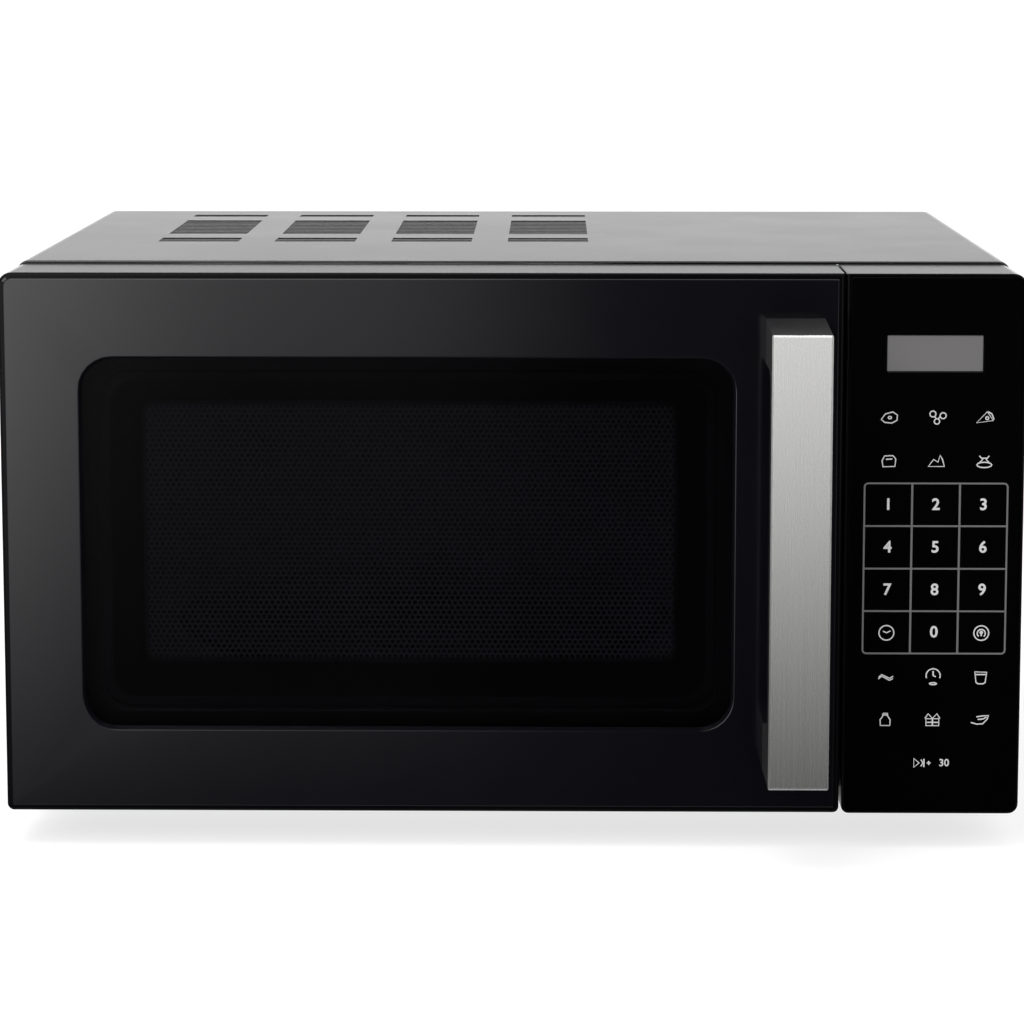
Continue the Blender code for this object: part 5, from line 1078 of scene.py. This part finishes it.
def slat_tree():
    """A row of crowned slats, lying along X and spaced along Y."""
    tree, given, made = geometry_tree(
        "slats",
        [("Count", WHOLE, 3), ("Pitch", NUMBER, 0.01), ("Length", NUMBER, 0.04), ("Width", NUMBER, 0.004),
         ("Thickness", NUMBER, 0.001), ("Crown", NUMBER, 0.0003), ("Material", PAINT, None)],
    )
    size = add(
        tree, "ShaderNodeCombineXYZ",
        [("X", given.outputs["Length"]), ("Y", given.outputs["Width"]), ("Z", given.outputs["Thickness"])],
    )
    bar = add(tree, "GeometryNodeMeshCube", [("Size", size.outputs[0]), ("Vertices Y", 7)])
    place = add(tree, "GeometryNodeInputPosition")
    across = add(tree, "ShaderNodeSeparateXYZ", [(0, place.outputs[0])]).outputs["Y"]
    share = sums(tree, "DIVIDE", across, sums(tree, "MULTIPLY", given.outputs["Width"], 0.5))
    drop = sums(tree, "MULTIPLY", sums(tree, "MULTIPLY", share, share), given.outputs["Crown"])
    lower = add(tree, "ShaderNodeCombineXYZ", [("Z", sums(tree, "MULTIPLY", drop, -1.0))])
    crowned = add(tree, "GeometryNodeSetPosition", [("Geometry", bar.outputs[0]), ("Offset", lower.outputs[0])])
    step = add(tree, "ShaderNodeCombineXYZ", [("Y", given.outputs["Pitch"])])
    row = add(tree, "GeometryNodeMeshLine", [("Count", given.outputs["Count"]), ("Offset", step.outputs[0])])
    slats = add(
        tree, "GeometryNodeInstanceOnPoints", [("Points", row.outputs[0]), ("Instance", crowned.outputs[0])]
    )
    real = add(tree, "GeometryNodeRealizeInstances", [("Geometry", slats.outputs[0])])
    return hand_out(tree, given, made, real.outputs[0])


HEM = ((0.0, 0.75), (0.12, 0.42), (0.35, 0.18), (0.7, 0.04), (1.2, 0.0))  # mm behind the front edge, mm pulled in


def casing_path(fields, pull):
    """Points of the casing's cross-section, pulled in, from its left foot over the roof to its right foot."""
    low_x, high_x = CASING_LOW[0] + pull, CASING_HIGH[0] - pull
    low_z, high_z = CASING_LOW[2], CASING_HIGH[2] - pull
    bend_round = CASING_ROUND - pull
    ends = (bend_round + 0.4 * mm, 0.4 * mm)
    path = []
    for side, x in (("left", low_x), ("right", high_x)):
        heights = {low_z, low_z + ends[1], high_z - ends[0]}
        for part, low, high, _, _ in fields:
            if part == side:
                heights |= {low[0], high[0]}
        path.append([(x, z, side) for z in sorted(heights)])
    across = {low_x + ends[0], high_x - ends[0]}
    for part, low, high, _, _ in fields:
        if part == "roof":
            across |= {low[0], high[0]}
    roof = [(x, high_z, "roof") for x in sorted(across)]
    bends = []
    for centre, start in ((low_x + bend_round, 180), (high_x - bend_round, 90)):
        turn = [math.radians(start - 90 * k / 8) for k in range(9)]
        bends.append(
            [(centre + bend_round * math.cos(a), high_z - bend_round * (1 - math.sin(a)), "bend") for a in turn]
        )
    return path[0] + bends[0] + roof + bends[1] + list(reversed(path[1]))


def rear_flange():
    """The casing's rear edge, folded in at its sides and roof."""
    step = 0.1 * mm
    bottom, back = CASING_LOW[2] + step, CASING_HIGH[1]
    outer = outline(
        CASING_LOW[0] + step, bottom, CASING_HIGH[0] - step, CASING_HIGH[2] - step,
        (CASING_ROUND, CASING_ROUND, 0, 0),
    )
    outer = [point for point in outer if point[1] > bottom + step]
    outer = [(outer[0][0], bottom), *outer, (outer[-1][0], bottom)]
    low_x, high_x = CASING_LOW[0] + REAR_FLANGE, CASING_HIGH[0] - REAR_FLANGE
    high_z = CASING_HIGH[2] - REAR_FLANGE
    inner = [(min(max(x, low_x), high_x), min(z, high_z)) for x, z in outer]
    bm = bmesh.new()
    rows = []
    for points, y in ((outer, back), (inner, back), (inner, back - SHEET), (outer, back - SHEET)):
        rows.append([bm.verts.new((x, y, z)) for x, z in points])
    for first, second in zip(rows, rows[1:] + rows[:1]):
        for k in range(len(outer) - 1):
            bm.faces.new((first[k], first[k + 1], second[k + 1], second[k]))
    for end in (0, -1):
        bm.faces.new([row[end] for row in rows])
    bmesh.ops.remove_doubles(bm, verts=bm.verts, dist=step / 10)
    bmesh.ops.recalc_face_normals(bm, faces=bm.faces)
    return mesh_from(bm, "rear_flange")


def casing():
    """The wrap-round casing: bent sheet with windows, crowned slats in them and a flange at the back."""
    fields = vent_fields()
    path = casing_path(fields, 0)
    pulls = {CASING_LOW[1] + behind * mm: pull * mm for behind, pull in HEM}
    depths = {CASING_HIGH[1], *pulls}
    for _, low, high, _, _ in fields:
        depths |= {low[1], high[1]}
    depths = sorted(depths)
    bm = bmesh.new()
    loops = [[bm.verts.new((x, y, z)) for x, z, _ in casing_path(fields, pulls.get(y, 0))] for y in depths]
    grid = list(zip(*loops))

    def in_window(k, n):
        for part, low, high, _, _ in fields:
            if path[k][2] == part == path[k + 1][2] and low[1] <= depths[n] < high[1]:
                along = [point[0] if part == "roof" else point[1] for point in (path[k], path[k + 1])]
                if low[0] <= min(along) and max(along) <= high[0]:
                    return True
        return False

    for k in range(len(path) - 1):
        for n in range(len(depths) - 1):
            if not in_window(k, n):
                bm.faces.new((grid[k][n], grid[k + 1][n], grid[k + 1][n + 1], grid[k][n + 1]))
    sheet = thickened("casing", mesh_from(bm, "casing"), SHEET, use_even_offset=True)
    if max(vert.co.z for vert in sheet.vertices) > CASING_HIGH[2] + 0.1 * mm:
        sheet.flip_normals()
    meshes = [bevelled(sheet, "casing", 0.3 * mm, 2, 40)]

    tree = slat_tree()
    for part, low, high, slots, (length, slot, pitch) in fields:
        width = pitch - slot
        slats = run_tree(
            "slats", tree,
            {"Count": slots - 1, "Pitch": pitch, "Length": length + SLAT_LAP, "Width": width,
             "Thickness": SLAT_THICK, "Crown": SLAT_CROWN, "Material": FINISHES["black_paint"]},
        )
        first = low[1] + slot + width / 2
        middle = (low[0] + high[0]) / 2
        turn = Matrix.Identity(4)
        if part == "roof":
            place = (middle, first, CASING_HIGH[2] - SLAT_SINK)
        elif part == "right":
            place, turn = (CASING_HIGH[0] - SLAT_SINK, first, middle), Matrix.Rotation(math.pi / 2, 4, "Y")
        else:
            place, turn = (CASING_LOW[0] + SLAT_SINK, first, middle), Matrix.Rotation(-math.pi / 2, 4, "Y")
        slats.transform(Matrix.Translation(place) @ turn)
        meshes.append(slats)

    meshes.append(rear_flange())
    new_piece("casing_skin", joined("casing_skin", meshes, 40), "black_paint", "chassis", ("wrap_cover",))


# ---------------------------------------------------------------- everything
door_shell()
window_glass()
screen()
handle()
panel_shell()
panel_overlay()
panel_print()
turntable()
feet()
cover_screws()
casing()

DONE = {
    "door_frame", "door_glass", "door_screen", "handle_grip", "handle_strip", "control_panel_frame",
    "control_panel_fascia", "display_window", "glass_tray", "roller_ring", "drive_coupler", "roller_1", "roller_2",
    "roller_3", "wrap_cover",
}
EASING = 0.2 * mm
for node in sorted(NODES):
    if node not in DONE and not node.startswith(("foot_", "cover_screw_")):
        eased(node, 0 if node == "back_plate" else EASING)


# ---------------------------------------------------------------- stage
FLOOR_HALF = 60
FLOOR_LOOK = (
    ("Base Color", (0.32, 0.32, 0.32, 1)), ("Roughness", 0.9), ("Specular IOR Level", 0.1),
    ("Emission Color", (1, 1, 1, 1)), ("Emission Strength", 0.72),
)


def floor():
    """A pale floor that takes a faint shadow."""
    bm = bmesh.new()
    bmesh.ops.create_grid(bm, x_segments=1, y_segments=1, size=FLOOR_HALF)
    mesh = mesh_from(bm, "floor")
    made = placed("floor", mesh)
    paint = bpy.data.materials.new("pale_floor")
    paint.use_nodes = True
    for socket, value in FLOOR_LOOK:
        paint.node_tree.nodes["Principled BSDF"].inputs[socket].default_value = value
    mesh.materials.append(paint)
    made.visible_glossy = False


# Each band of the surroundings: the angles it goes between, in degrees, and its level at each of them.
NEAR_LEFT = (-1.5, 4.0, 0.03, 0.85)
FAR_LEFT = (5.0, 12.0, 0.0, 2.0)
LEFT_END = (22.0, 45.0, 1.0, 0.22)
RIGHT = (-9.0, -24.0, 0.0, 1.7)
RIGHT_END = (-28.0, -50.0, 1.0, 0.25)
LIFT = (-17.0, -3.0, 0.03, 1.0)
OVERHEAD = (50.0, 75.0, 0.0, 0.9)
UNDERFOOT = (-24.0, -40.0, 0.0, 0.55)
BACK_LOW = (-20.0, 0.0, 0.35, 1.46)
BACK_HIGH = (3.8, 6.2, 0.0, -0.98)


def band(tree, angle, between):
    """A smooth change of level over a band of angles."""
    start, end, from_level, to_level = between
    return spread(tree, angle, math.radians(start), math.radians(end), from_level, to_level)


def studio():
    """White surroundings for the eye. What gloss reflects is bright behind and at the left, dark in front."""
    world = bpy.data.worlds.new("studio")
    bpy.context.scene.world = world
    world.use_nodes = True
    tree = world.node_tree
    tree.nodes.clear()
    way = add(tree, "ShaderNodeTexCoord").outputs["Generated"]
    parts = add(tree, "ShaderNodeSeparateXYZ", [(0, way)])
    x, y, z = parts.outputs["X"], parts.outputs["Y"], parts.outputs["Z"]
    left = sums(tree, "ARCTAN2", sums(tree, "MULTIPLY", x, -1.0), sums(tree, "MULTIPLY", y, -1.0))
    rising = sums(tree, "ARCSINE", z, 0.0)
    near, far = band(tree, left, NEAR_LEFT), band(tree, left, FAR_LEFT)
    left_end = band(tree, left, LEFT_END)
    right, right_end = band(tree, left, RIGHT), band(tree, left, RIGHT_END)
    leftward = sums(tree, "MULTIPLY", sums(tree, "ADD", near, far), left_end)
    round_ = sums(tree, "ADD", leftward, sums(tree, "MULTIPLY", right, right_end))
    front = sums(tree, "MULTIPLY", round_, band(tree, rising, LIFT))
    ends = sums(tree, "ADD", band(tree, rising, OVERHEAD), band(tree, rising, UNDERFOOT))
    front = sums(tree, "ADD", front, ends)
    back = sums(tree, "ADD", band(tree, rising, BACK_LOW), band(tree, rising, BACK_HIGH))
    behind = spread(tree, y, -0.2, 0.3)
    before = sums(tree, "SUBTRACT", 1.0, behind)
    mirror = sums(tree, "ADD", sums(tree, "MULTIPLY", front, before), sums(tree, "MULTIPLY", back, behind))
    glossy = add(tree, "ShaderNodeLightPath").outputs["Is Glossy Ray"]
    other = sums(tree, "SUBTRACT", 1.0, glossy)
    level = sums(tree, "ADD", sums(tree, "MULTIPLY", mirror, glossy), other)
    light = add(tree, "ShaderNodeBackground", [("Color", (1, 1, 1, 1)), ("Strength", level)])
    out = add(tree, "ShaderNodeOutputWorld")
    tree.links.new(light.outputs[0], out.inputs["Surface"])


def lamp(name, place, aim, size, power):
    """A soft round lamp turned towards aim."""
    light = bpy.data.lights.new(name, "AREA")
    light.shape, light.size, light.energy = "DISK", size, power
    made = placed(name, light)
    made.location = place
    made.rotation_euler = (Vector(aim) - Vector(place)).to_track_quat("-Z", "Y").to_euler()
    made.visible_glossy = False


EYE = (0.018, Y_FACE - 1.392, 0.391)
LENS, SENSOR = 112.2, 36.0  # mm
PITCH = 6.985  # degrees down
YAW = 0.73  # degrees to the left
SHIFT = -0.15


def camera():
    view = bpy.data.cameras.new("camera")
    made = placed("camera", view)
    view.sensor_width, view.lens, view.shift_y = SENSOR, LENS, SHIFT
    made.location = EYE
    made.rotation_euler = (math.radians(90 - PITCH), 0, math.radians(YAW))
    bpy.context.scene.camera = made


floor()
studio()
lamp("top_light", (-0.5, -0.3, 1.9), (0, 0, 0.1), 1.6, 24)
lamp("front_light", (-1.4, -1.8, 1.3), (0, 0, 0.13), 1.2, 16)
camera()
bpy.context.scene.view_settings.view_transform = "Standard"
